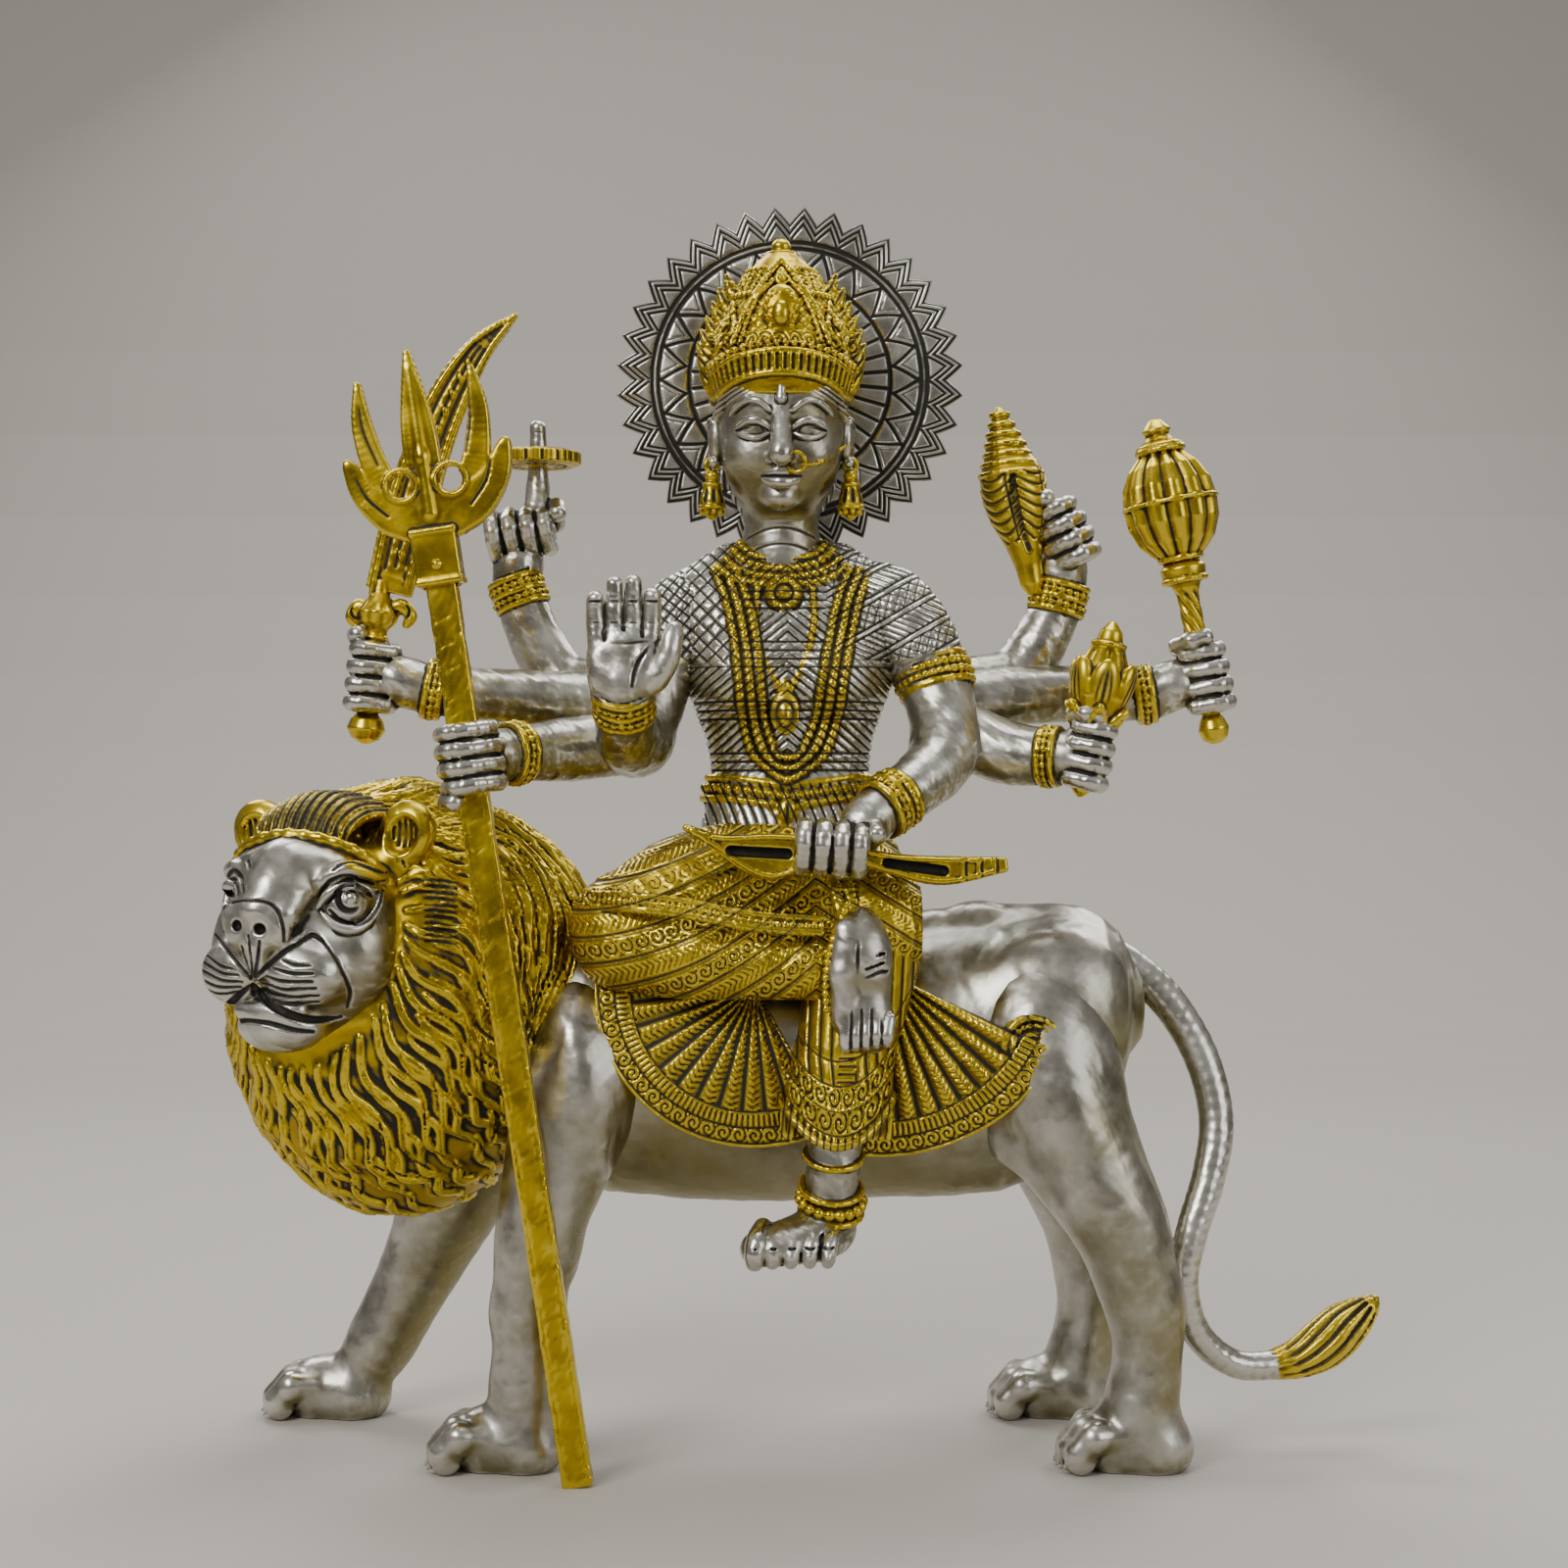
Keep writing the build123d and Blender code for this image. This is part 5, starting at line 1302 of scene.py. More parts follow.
def make_crown():
    c = np.array([-9.5, -8, 424.0])
    clay = Clay(c + (-40, -38, -6), c + (40, 34, 72), 0.45)
    tall = [(0, 27.5), (8, 29.5), (14, 30.5), (22, 28.5), (30, 25.5), (38, 22), (46, 18), (52, 14),
            (57, 10), (60, 6.5)]
    h, r = zip(*tall)

    def cone(x, y, z):
        q = np.sqrt((x - c[0])**2 + (y - c[1])**2)
        z = z - c[2]
        away = np.maximum(-z, z - 61)
        return np.maximum((q - np.interp(z, h, r).astype(np.float32)) * 0.86, away)

    clay.blend(c + (-32, -32, 0), c + (32, 32, 62), cone)
    clay.rope([(c[0], c[1], c[2] + 56, 7), (c[0], c[1], c[2] + 61.5, 3.2), (c[0], c[1], c[2] + 63, 2.8)],
              soft=1.5)
    clay.egg((c[0], c[1], c[2] + 63.2), (4, 4, 3.6), soft=.8)

    def on(angle, height, lift=0.0, thick=1.0):
        """A point on the crown, with the angle from the front."""
        t = math.radians(angle)
        q = np.interp(height, h, r) + lift
        return [c[0] + q * math.sin(t), c[1] - q * math.cos(t), c[2] + height, thick]

    # brim: two ropes with upright ribs between, arched over the brow
    def arch(a):
        return 6.5 * max(0.0, 1 - (a / 62)**2)

    for lift, z, thick in ((0.2, 1.4, 1.5), (0.4, 10.0, 1.4)):
        clay.rope([on(a, z + arch(a), lift, thick) for a in range(-180, 181, 6)], soft=.4)
    for a in np.arange(-180, 180, 6.0):
        clay.rope([on(a, 2.8 + arch(a), 0, 1.15), on(a, 8.6 + arch(a), .5, 1.15)], soft=.3)
        clay.score([on(a + 3, 3.0 + arch(a + 3), .9, .45), on(a + 3, 8.4 + arch(a + 3), 1.3, .45)], soft=.3)
    beads(clay, [on(a, 13.2 + arch(a), 0.3) for a in range(-180, 181, 6)], 1.7, 3.5)
    clay.score([on(a, 15.3 + arch(a), .9, .5) for a in range(-180, 181, 6)], soft=.3)
    # pointed double arch and the teardrop medallion in it
    for k, (w, top, thick) in enumerate(((21, 56, 1.5), (17.5, 51, 1.0))):
        for s in (-1, 1):
            clay.rope([on(s * w * 1.9, 20.5, .8, thick), on(s * w * 1.75, 30, .6, thick),
                       on(s * w * 1.35, 40, .8, thick),
                       on(s * w * .6, top - 5, 1.0, thick), on(0, top, 1.4, thick)], soft=.4, turns=4)
    clay.egg(on(0, 33, 0.6)[:3], (7.2, 3.6, 10.5), soft=1)
    clay.egg(on(0, 31.5, 3.2)[:3], (3.2, 2.4, 4.8), soft=.3)
    for t in np.linspace(0, 2 * math.pi, 16, endpoint=False):
        p = on(0, 32.5, 3.0)
        clay.egg((p[0] + 6.0 * math.cos(t), p[1] + 1.0, p[2] + 8.4 * math.sin(t) + 1.2 * math.cos(2 * t)),
                 (1.25, 1.3, 1.25), soft=.3)
    p = on(0, 31.5, 4.2)
    clay.ring(p[:3], (0, 1, 0.1), 4.1, .45, oval=1.35, side=(1, 0, 0), cut=True, paint="ink")
    clay.egg(on(0, 46.5, 1.6)[:3], (2.6, 2, 3.4), soft=.3)
    # leaf plates round the sides and the back
    for a in (-128, -92, -56, 56, 92, 128, 180):
        for s in (-1, 1):
            leaf = ((0, 19, .8), (s * 13, 26.5, 1.0), (s * 5.2, 34, 1.0), (0, 38, 1.2))
            clay.rope([on(a + turn, z, lift, 1.2) for turn, z, lift in leaf], soft=.4, turns=4)
        clay.rope([on(a, 21, .5, 2.2), on(a, 28, .8, 2.6), on(a, 34, .4, 1.2)], soft=.6)
        for s in (-1, 1):
            for z in (22, 26, 30):
                clay.score([on(a + s * 3, z, 2.0, .4), on(a + s * 9, z + 4, 1.2, .4)], soft=.3)
    for level, size in ((41.5, 1.4), (52.5, 1.3)):
        beads(clay, [on(a, level, .2) for a in range(30, 331, 6)], size, size * 2)
    for a in range(36, 330, 12):
        clay.rope([on(a, 43.5, .2, .9), on(a + 4, 50.5, .4, .9)], soft=.4)
    # feathered flares beside the temples, and the jagged upper edge
    for s in (-1, 1):
        for k in range(8):
            z = 2 + k * 5.6
            x0 = np.interp(z, h, r) * 0.93
            x1 = x0 + 6.2 - k * .45
            y = c[1] - 7 + k * .5
            clay.rope([(c[0] + s * x0, y, c[2] + z, 2.6),
                       (c[0] + s * (x0 + x1) / 2, y + .5, c[2] + z + 5, 2.4),
                       (c[0] + s * x1, y + 1, c[2] + z + 10, 1.0)],
                      soft=.8, turns=3)
            clay.score([(c[0] + s * (x0 - 1), y - 2.8, c[2] + z + 2, .5),
                        (c[0] + s * (x0 + x1) / 2, y - 2.0, c[2] + z + 6, .5),
                        (c[0] + s * x1, y - .2, c[2] + z + 10, .4)],
                      soft=.3, turns=3)

    def chased(p):
        """Scrollwork between the ribs and plates."""
        q = p - c
        a = np.degrees(np.arctan2(q[:, 0], -q[:, 1]))
        low = scroll(a * 0.5, (q[:, 2] - 21) * 1.0, .8) * (np.abs(q[:, 2] - 21) < 3.2)
        high = scroll(a * 0.32, (q[:, 2] - 47) * 1.0, .7) * (np.abs(q[:, 2] - 47) < 3)
        mesh = (np.maximum(groove((a * .42 + q[:, 2]) / 4.4, .2), groove((a * .42 - q[:, 2]) / 4.4, .2))
                * ((q[:, 2] > 25) & (q[:, 2] < 40) & (np.abs(a) > 12)))
        return np.maximum(np.maximum(low, high), mesh * .7) * (q[:, 2] > 17)

    clay.relief(lambda p: 0.1 * noise(p, 3, 51) - 0.55 * chased(p))
    clay.cast("crown_sculpt", GOLD, "crown", dark=lambda p: .55 * chased(p))


def make_halo():
    """The disc behind her head, made directly as a fine polar grid: rings, zigzag, rays and pointed teeth."""
    cx, cz, y0, thick, radius, tooth, teeth = -6.0, 439.0, 24.0, 4.0, 66.0, 7.0, 36
    turns = 792
    a = np.linspace(0, 2 * math.pi, turns, endpoint=False)
    inner = np.concatenate([np.linspace(0.02, 0.26, 6, endpoint=False), np.linspace(0.26, 1, 100)])
    phase = np.mod(a * teeth / (2 * math.pi), 1.0)
    rise = 1 - np.abs(phase - 0.5) * 2
    edge = radius + tooth * rise - 0.2
    r = inner[:, None] * edge[None]
    u = np.abs(phase - 0.5)[None] * 2 + 0 * r
    depth = np.zeros_like(r)
    past = np.clip(r - (radius - 8), 0, None)

    def line(v, w):
        return np.exp(-(v / w)**2)

    for k, start in enumerate((0.0, 3.2, 6.4)):
        v = past - start - (1 - u) * 7.2
        depth += 0.9 * line(v, .75) * (r > radius - 7.5)
    for ring in (55.0, 42.0, 20.5, 57.6):
        depth += 1.0 * line(r - ring, .85)
    zig = np.abs(np.mod(a * 24 / (2 * math.pi), 1.0) - 0.5)[None] * 2
    band = (r > 42.8) & (r < 54.4)
    depth += 1.0 * line(r - (43.5 + zig * 10.2), 1.15) * band
    depth += 0.5 * line(r - (47.5 + zig * 10.2), .5) * band * (r < 54)
    ray = np.abs(np.mod(a * 36 / (2 * math.pi), 1.0) - 0.5)[None] * r * 2 * math.pi / 36
    depth += 0.9 * line(ray, .75) * ((r > 21.5) & (r < 41))
    bulge = 0.5 * np.clip(1 - np.abs(r - 48.5) / 7, 0, 1) + 0.35 * np.clip(1 - np.abs(r - 31) / 11, 0, 1)
    edge_round = 1.6 * np.clip((inner[:, None] - 0.975) / 0.025, 0, 1)**2
    wobble = 0.10 * np.sin(a * 7 + 1)[None] + 0.08 * np.sin(a * 17)[None] * np.sin(r / 6)
    y_front = y0 + depth * 0.8 + edge_round + 0.55 - bulge + wobble
    y_back = (y0 + thick - edge_round - 0.3)[::-4]
    x, z = cx + r * np.sin(a)[None], cz + r * np.cos(a)[None]
    points = np.concatenate([np.stack([x, y_front, z], 2).reshape(-1, 3),
                             np.stack([x[::-4], y_back + 0 * x[::-4], z[::-4]], 2).reshape(-1, 3)])
    rows = len(inner) + len(y_back)
    i, j = np.meshgrid(np.arange(rows - 1), np.arange(turns), indexing="ij")
    k = (j + 1) % turns
    quads = np.stack([i * turns + j, i * turns + k, (i + 1) * turns + k, (i + 1) * turns + j],
                     2).reshape(-1, 4)
    ink = np.clip(depth + 0.16 + 0.12 * np.sin(a * 5)[None], 0, 1).reshape(-1)
    marks = {"gold": np.zeros(len(points)), "dark": np.concatenate([ink, np.zeros(len(points) - len(ink))])}
    build("halo_sculpt", points, quads, SILVER, "halo", marks, "statue")


def make_screws():
    clay = Clay((-18, 18, 400), (0, 34, 440), 0.4)
    for z in (409, 431):
        clay.egg((-9.5, 29.0, z), (4.0, 2.2, 4.0), soft=.3)
        clay.rope([(-9.5, 22, z, 1.9), (-9.5, 28, z, 1.9)], soft=.3)
        clay.slab((-9.5, 31.2, z), (4.6, 1.2, .55), .1, cut=True, paint="ink")
    clay.cast("screws_sculpt", PLAIN, "halo_screws")


# ---- lap, skirt and legs ----------------------------------------------------------------------------
def scroll(u, v, scale=1.0):
    """Running wave scroll along u, in a band about v = 0."""
    t = u / (7.5 * scale)
    k = t - np.round(t)
    spiral = np.sin(2 * np.pi
                    * (np.hypot(k * 2.2, v / (3.4 * scale)) * 1.35 - np.arctan2(v, k * 16) / (2 * np.pi)))
    return np.clip(spiral, 0, 1)


def cloth_gold(p):
    """Bands that sweep from the waist round to the knee: scrolled ones and hatched ones by turns."""
    x, z = p[:, 0], p[:, 2]
    s = np.where(x < 4, z - 0.0045 * (x + 95)**2, z - 44 + 0.62 * (x - 4))
    t = np.where(x < 4, x + 0.4 * z, x - z)
    band, inner = np.floor(s / 10.5), np.mod(s / 10.5, 1) - 0.5
    edges = np.maximum(groove(s / 10.5, 0.1), 0.8 * groove((s + 1.5) / 10.5, 0.07))
    leaf = 0.8 * groove((t + 9 * np.abs(inner)) / 2.7, 0.3) * (np.abs(inner + 0.06) < 0.3)
    ornate = scroll(t, inner * 10.5, 0.9) * (np.abs(inner + 0.06) < 0.31)
    return np.maximum(edges, np.where(np.mod(band, 2) > 0, ornate, leaf))


def make_lap():
    clay = Clay((-98, -66, 186), (46, 36, 264), 0.7)
    clay.egg((-4, -4, 230), (47, 34, 33))
    clay.rope([(-14, -14, 230, 29), (-45, -24, 222, 28), (-70, -31, 213, 23.6)], soft=6)
    clay.rope([(-70, -33, 209, 21), (-40, -43, 203, 19), (2, -47, 200, 16)], soft=5)
    clay.rope([(8, -10, 232, 28), (27, -34, 214, 24)], soft=6)
    clay.rope([(-58, -56, 225, 2), (-30, -60, 216, 3), (0, -56, 212, 2)], soft=6, cut=True)
    clay.relief(lambda p: -0.9 * cloth_gold(p) * (p[:, 1] < 22) + 0.25 * noise(p, 10, 61)
                - 0.7 * (p[:, 1] >= 22) * groove((p[:, 0] + 0.2 * p[:, 2]) / 5.5, 0.25))
    # raised hems along the fold between thigh and shin
    for dz, size in ((0, 1.7), (5.4, 1.2)):
        path = [(-82, -46, 222 + dz, size), (-66, -59, 222 + dz, size), (-44, -60.5, 219.5 + dz, size),
                (-20, -62.4, 215 + dz, size), (6, -61, 213 + dz, size)]
        clay.rope(path, soft=.6, turns=4)
    beads(clay, [(-82, -47, 224.8, 1), (-66, -59.6, 224.8, 1), (-44, -61, 222.2, 1), (-20, -62.4, 217.6, 1),
                 (6, -60.5, 215.6, 1)], 1.4, 2.7)
    for k in range(5):
        a = k / 4
        clay.rope([(-18 + 10 * a, -32 - 5 * a, 251 - 4 * a, 1.5),
                   (-44 + 8 * a, -45 - 3 * a, 242 - 6 * a, 1.5),
                   (-72 + 6 * a, -50 - 3 * a, 229 - 6 * a, 1.4)],
                  soft=.8, turns=4)
    # pleats that hang between the knee and the foot
    for k in range(6):
        x = 10 + k * 5.2
        clay.rope([(x - 2, -40 + k * 1.2, 240, 1.7), (x + 1, -52 + k, 229, 2.0),
                   (x + 4, -55.5 + k * .8, 214, 2.0), (x + 3, -53 + k * .9, 202, 1.8)],
                  soft=1.2, turns=4)
        beads(clay, [(x + 1.5, -44.4 + k * 1.2, 238, 1), (x + 3.5, -54.6 + k, 227, 1),
                     (x + 6, -56.6 + k * .8, 213, 1)], 1.1, 2.4)
    clay.cast("lap_sculpt", GOLD, "lap_drape",
              dark=lambda p: 0.8 * cloth_gold(p) * (p[:, 1] < 10))


def make_folded_foot():
    foot = Clay((4, -76, 160), (42, -44, 230), 0.5)
    foot.egg((22, -58, 196), (11, 8, 27), soft=2)
    foot.egg((23, -60, 177), (11.5, 7.5, 11), soft=5)
    foot.egg((20, -60, 205), (11.5, 9, 12), soft=6)
    for k in range(5):
        x = 15.2 + k * 3.9
        foot.rope([(x + 1, -64, 180, 2.6), (x, -66, 174.5, 2.5), (x - .2, -65, 169.4 + 0.5 * k, 2.3)],
                  soft=.9, turns=3)
        foot.egg((x - .2, -67.2, 170.2 + .5 * k), (1.5, .8, 1.8), soft=.3)
        if k < 4:
            foot.score([(x + 2.1, -66.8, 184, .5), (x + 2, -68, 176, .6), (x + 1.8, -67, 168, .5)], soft=.4)
    foot.rope([(15, -62, 214, 5), (14, -63.4, 198, 5.6), (14.6, -63, 180, 5)], soft=2.5)
    foot.score([(20, -69, 213, .5), (19.6, -69, 200, .6), (20.6, -69.6, 186, .5)], soft=.6, turns=3)
    for z in (196, 199.5, 203):
        foot.score([(23, -68, z, .5), (28, -66.4, z + 2, .7), (31, -63, z + 2.4, .5)], soft=.5, turns=3)
    beads(foot, [(16, -60, 224, 1), (10.4, -64, 211, 1), (7.6, -64.6, 196, 1), (7.8, -63, 184, 1)], 1.7,
          3.0)
    foot.relief(lambda p: 0.15 * noise(p, 6, 63))
    foot.cast("folded_foot_sculpt", SILVER, "folded_foot")


def fan_polar(p, cx, cz):
    x, z = p[:, 0] - cx, p[:, 2] - cz
    return np.hypot(x, z), np.degrees(np.arctan2(z, x))


def make_fan(name, cx, cz, radius, start, end, step, low, high, medallion=None):
    """Skirt over the lion's side: ridges that fan out, hems and a scroll between them."""
    clay = Clay(low, high, 0.72)

    def field(x, y, z):
        shell = trunk_field(x, y, z)
        lift = 6.0 * np.clip((x - 62) / 20, 0, 1)
        outer = np.maximum(shell - 7.6 - lift, -(shell + 0.4))
        u, w = x - cx, z - cz
        r = np.sqrt(u**2 + w**2) + 0 * y
        a = np.degrees(np.arctan2(w, u)) + 0 * y
        a = np.where(a < start - 40, a + 360, a)
        side = np.maximum(start - a, a - end) * np.pi / 180 * r
        return np.maximum(np.maximum(outer, r - radius), np.maximum(side, y - 6)) * 0.9

    clay.blend(low, high, field)

    def lines(p):
        r, a = fan_polar(p, cx, cz)
        a = np.where(a < start - 40, a + 360, a)
        edge = radius - r
        count = groove(a / step, 0.25 + 0 * r)
        twist = groove((r + np.abs(np.mod(a / step, 1) - 0.5) * 6) / 2.6,
                       0.3) * (np.abs(np.mod(a / step, 1) - 0.5) < 0.34) * 0.75
        hems = groove((edge - 1.6) / 6.4, 0.12) * (edge < 16)
        wave = scroll(a * radius * np.pi / 180, (edge - 4.8) * 1.0, 0.9) * (np.abs(edge - 4.8) < 3)
        pleat = groove(a * radius * np.pi / 180 / 2.6, 0.3) * ((edge > 8.5) & (edge < 13.5))
        return np.where(edge < 14.8, np.maximum(np.maximum(hems, wave), pleat), np.maximum(count, twist))

    clay.relief(lambda p: -0.95 * lines(p) + 0.5
                * np.cos((fan_polar(p, cx, cz)[1] / step - 0.5) * 2 * np.pi)
                * (fan_polar(p, cx, cz)[0] < radius - 15))
    if medallion:
        c, out = np.array(medallion[0], float), unit(medallion[1])
        clay.egg(c, (12, 5, 12), soft=1.5, axes=None)
        for r, thick, n in ((11.3, 1.3, 0), (8.2, 1.25, 20), (5.0, 1.0, 0)):
            clay.ring(c + out * (3.4 + (11 - r) * .18), out, r, thick, beads=n)
        for r in (9.9, 6.4):
            clay.ring(c + out * 5.0, out, r, .5, cut=True, paint="ink")
        clay.egg(c + out * 4.6, (2.8, 2.4, 2.8), soft=.3)
    clay.cast(name + "_sculpt", GOLD, name, dark=lambda p: 0.85 * lines(p))


def make_fans():
    make_fan("skirt_fan_left", -20, 190, 63, 172, 300, 11.0, (-90, -56, 122), (14, 10, 206))
    make_fan("skirt_fan_right", 30, 197, 74, -96, -24, 8.4, (16, -56, 118), (104, 10, 208),
             ((88, -40, 168), (0.15, -1, -0.1)))


def make_gown():
    clay = Clay((-14, -72, 124), (50, -12, 232), 0.62)
    clay.rope([(24, -36, 205, 22), (15, -44, 165, 20), (12, -45, 142, 22), (12, -45, 124, 23)])
    clay.flat(2, 131, above=False)
    clay.rope([(10, -47, 126, 15), (10, -47, 133.5, 14)], soft=2, cut=True)

    def lines(p):
        x, z = p[:, 0], p[:, 2]
        cx = np.interp(z, [131, 165, 205], [12, 15, 24])
        a = (x - cx)
        low = z - 130.4 - 0.034 * (x - 13)**2
        hems = groove((low - 5.2) / 9.4, 0.07) * (low < 34)
        wave = scroll(a * 1.25, (low - 10.0) * 0.8, 1.0) * (np.abs(low - 10) < 4)
        wave2 = scroll(a * 1.25 + 4, (low - 19.4) * 0.8, 0.9) * (np.abs(low - 19.4) < 3.6)
        rib = groove(a / 2.7, 0.3) * (low < 4.6)
        pleats = groove((a + 0.18 * (z - 160)) / 4.4, 0.22) * (low > 24.2)
        across = groove(z / 3.0, 0.25) * (np.abs(a - 1) < 3.4) * (low > 24.2)
        return np.maximum(np.maximum(np.maximum(hems, wave), np.maximum(wave2, rib)),
                          np.maximum(pleats * (np.abs(a - 1) > 3.4), across))

    def under(p):
        return np.clip((130.4 + 0.034 * (p[:, 0] - 13)**2 - p[:, 2]) / 0.8, 0, 1) * (p[:, 1] < -47)

    clay.relief(lambda p: -0.95 * lines(p) * (1 - under(p)) - 2.6 * under(p) + 0.2 * noise(p, 9, 71))
    path = [[12 + 22.3 * math.sin(t), -45 - 22.3 * math.cos(t), 131.6 + 16.9 * math.sin(t)**2, 1.6]
            for t in np.radians(np.linspace(-100, 100, 24))]
    clay.rope(path, soft=.4)
    path = [[12 + 21.6 * math.sin(t), -44.6 - 21.6 * math.cos(t), 145.0 + 16 * math.sin(t)**2, 1.3]
            for t in np.radians(np.linspace(-95, 95, 24))]
    beads(clay, path, 1.3, 2.6)
    clay.cast("gown_sculpt", GOLD, "hanging_gown", dark=lambda p: 0.85 * lines(p))


def make_hanging_foot():
    foot = Clay((-28, -74, 82), (26, -36, 142), 0.5)
    foot.rope([(12, -48, 140, 11), (10.5, -50, 120, 10), (9.5, -51, 104, 10), (6, -51.5, 97, 10.5)], soft=2)
    foot.egg((9, -48, 96), (10.5, 10, 9), soft=4)
    foot.egg((-4, -55, 95), (21, 12, 8.2), soft=5, axes=axes_of(turn=20, tip=-14))
    foot.egg((-14, -58, 92), (11, 11.5, 6.2), soft=4, axes=axes_of(turn=20, tip=-10))
    foot.egg((-4, -59, 93), (19, 8.4, 7), soft=4)
    for k in range(5):
        x, big = -19.4 + k * 7.0, (1.25, 1.05, 1.0, 0.95, 0.88)[k]
        foot.rope([(x + 3, -57, 99, 3.2 * big), (x + 1, -64, 95.4, 3.4 * big), (x, -66.6, 91.0, 3.2 * big),
                   (x - .3, -65.6, 87.6, 2.8 * big)],
                  soft=.8, turns=3)
        foot.egg((x - .2, -69, 90), (1.9 * big, 1.3, 1.9 * big), soft=.3)
        foot.score([(x - 2, -67.6, 93.6, .4), (x, -69.6, 93.2, .5), (x + 2, -67.6, 93.6, .4)], soft=.3,
                   turns=3)
        if k < 4:
            foot.score([(x + 6, -59, 101, .5), (x + 4.2, -66, 96.6, .7), (x + 3.6, -67.4, 91, .8),
                        (x + 3.4, -65, 86, .7)],
                      soft=.5)
    foot.ring((10.8, -49.6, 126), (0.06, -0.4, 1), 11.2, 1.3, oval=1.0)
    for k, z in enumerate((111.5, 107.3, 103)):
        if k == 1:
            foot.ring((9.8, -50.5, z + 2), (0.1, -0.42, 1), 12.2, 2.3, beads=19)
        else:
            foot.ring((9.8, -50.5, z + 2), (0.1, -0.42, 1), 11.9, 1.3)
    foot.relief(lambda p: 0.15 * noise(p, 6, 73))
    foot.cast("hanging_foot_sculpt", SILVER, "hanging_foot")


# ---- what she holds -----------------------------------------------------------------------------------
def turned(clay, base, axis, outline, ribs=0, deep=0.0, rib_from=0.0, rib_to=1e9, twist=0.0, soft=0.0):
    """A turned shape from (height, radius) pairs, with ribs round it."""
    n = unit(axis)
    side = unit(np.cross(n, (0.0, 1.0, 0.05)))
    other = np.cross(n, side)
    o = np.array(base, float)
    heights, radii = (np.array(v, float) for v in zip(*outline))
    far = o + n * heights[-1]
    size = radii.max() + 1

    def field(x, y, z):
        x, y, z = x - o[0], y - o[1], z - o[2]
        h = x * n[0] + y * n[1] + z * n[2]
        a = x * side[0] + y * side[1] + z * side[2]
        b = x * other[0] + y * other[1] + z * other[2]
        r = np.sqrt(a**2 + b**2)
        if ribs:
            wave = np.abs(np.cos((np.arctan2(b, a) + h * twist) * ribs / 2))
            inside = np.clip((h - rib_from) / 2, 0, 1) * np.clip((rib_to - h) / 2, 0, 1)
            r = r + deep * (1 - wave) * inside
        away = np.maximum(heights[0] - h, h - heights[-1])
        return np.maximum((r - np.interp(h, heights, radii)) * 0.8, away)

    clay.blend(np.minimum(o, far) - size, np.maximum(o, far) + size, field, soft)


def make_sword():
    clay = Clay((-194, -32, 278), (-106, 0, 470), 0.6)
    f = np.array([-174, -16, 313.0])
    n = unit((6, 0, 56))
    turned(clay, f - n * 27, n,
           [(0, 1.5), (2, 5.6), (6, 7.8), (10, 6.4), (12, 4.2), (15, 4.3), (30, 4.6), (42, 4.2), (46, 4.4),
            (49, 7.4), (53, 8.6), (57, 5.5), (61, 3.6), (66, 3)],
           ribs=8, deep=.9, rib_from=46, rib_to=57)
    for k in range(12):
        clay.ring(f + n * (-16 + k * 2.9), n, 4.3, .75)
    for s, reach in ((-1, 11), (1, 13)):
        b = f + n * 27
        clay.rope([[*(b + np.array((s * 4, 0, 0))), 2.6], [*(b + np.array((s * reach * .7, 0, 1.5))), 2.8],
                   [*(b + np.array((s * reach, 0, -2.5))), 2.2],
                   [*(b + np.array((s * (reach - 2), 0, -6))), 1.6]], soft=1, turns=4)
        clay.ring(b + np.array((s * (reach - 3), -2, -1)), (0, 1, 0), 2.6, .5, cut=True, paint="ink")
    outer = smooth([(-176, 346), (-167.6, 384), (-153.5, 422), (-136.3, 446), (-117, 458)], 8)
    inner = smooth([(-157.5, 350), (-147.6, 384), (-138.6, 414), (-127.6, 440), (-116, 457.5)], 8)
    for k in range(len(outer) - 1):
        a, b = (outer[k] + inner[k]) / 2, (outer[k + 1] + inner[k + 1]) / 2
        w0 = np.linalg.norm(outer[k] - inner[k]) / 2
        d = unit((b[0] - a[0], 0, b[1] - a[1]))
        m = np.array([np.cross((0, 1, 0), d), (0, 1, 0), d])
        clay.slab(((a[0] + b[0]) / 2, -16, (a[1] + b[1]) / 2),
                  (max(w0, .9), 2.3, np.linalg.norm(b - a) / 2 + 1.2), .7, soft=.5, axes=m)
    for share, r in ((0.12, 1.1), (0.88, 1.1)):
        row = [(o[0] * (1 - share) + i[0] * share, -18.4, o[1] * (1 - share) + i[1] * share, r)
               for o, i in zip(outer, inner)]
        clay.rope(row[:-2], soft=.5)
        clay.rope([(q[0], -13.6, q[2], q[3]) for q in row[:-2]], soft=.5)
    for share in (0.3, 0.52, 0.74):
        row = [(o[0] * (1 - share) + i[0] * share, -18.6, o[1] * (1 - share) + i[1] * share, .65)
               for o, i in zip(outer, inner)]
        clay.score(row[2:-7], soft=.5)
    for q in row[3:-8:2]:
        clay.egg((q[0] - 3.4, -18.6, q[2]), (1.3, 1, 2.2), soft=.3)
    clay.cast("sword_sculpt", GOLD, "sword")


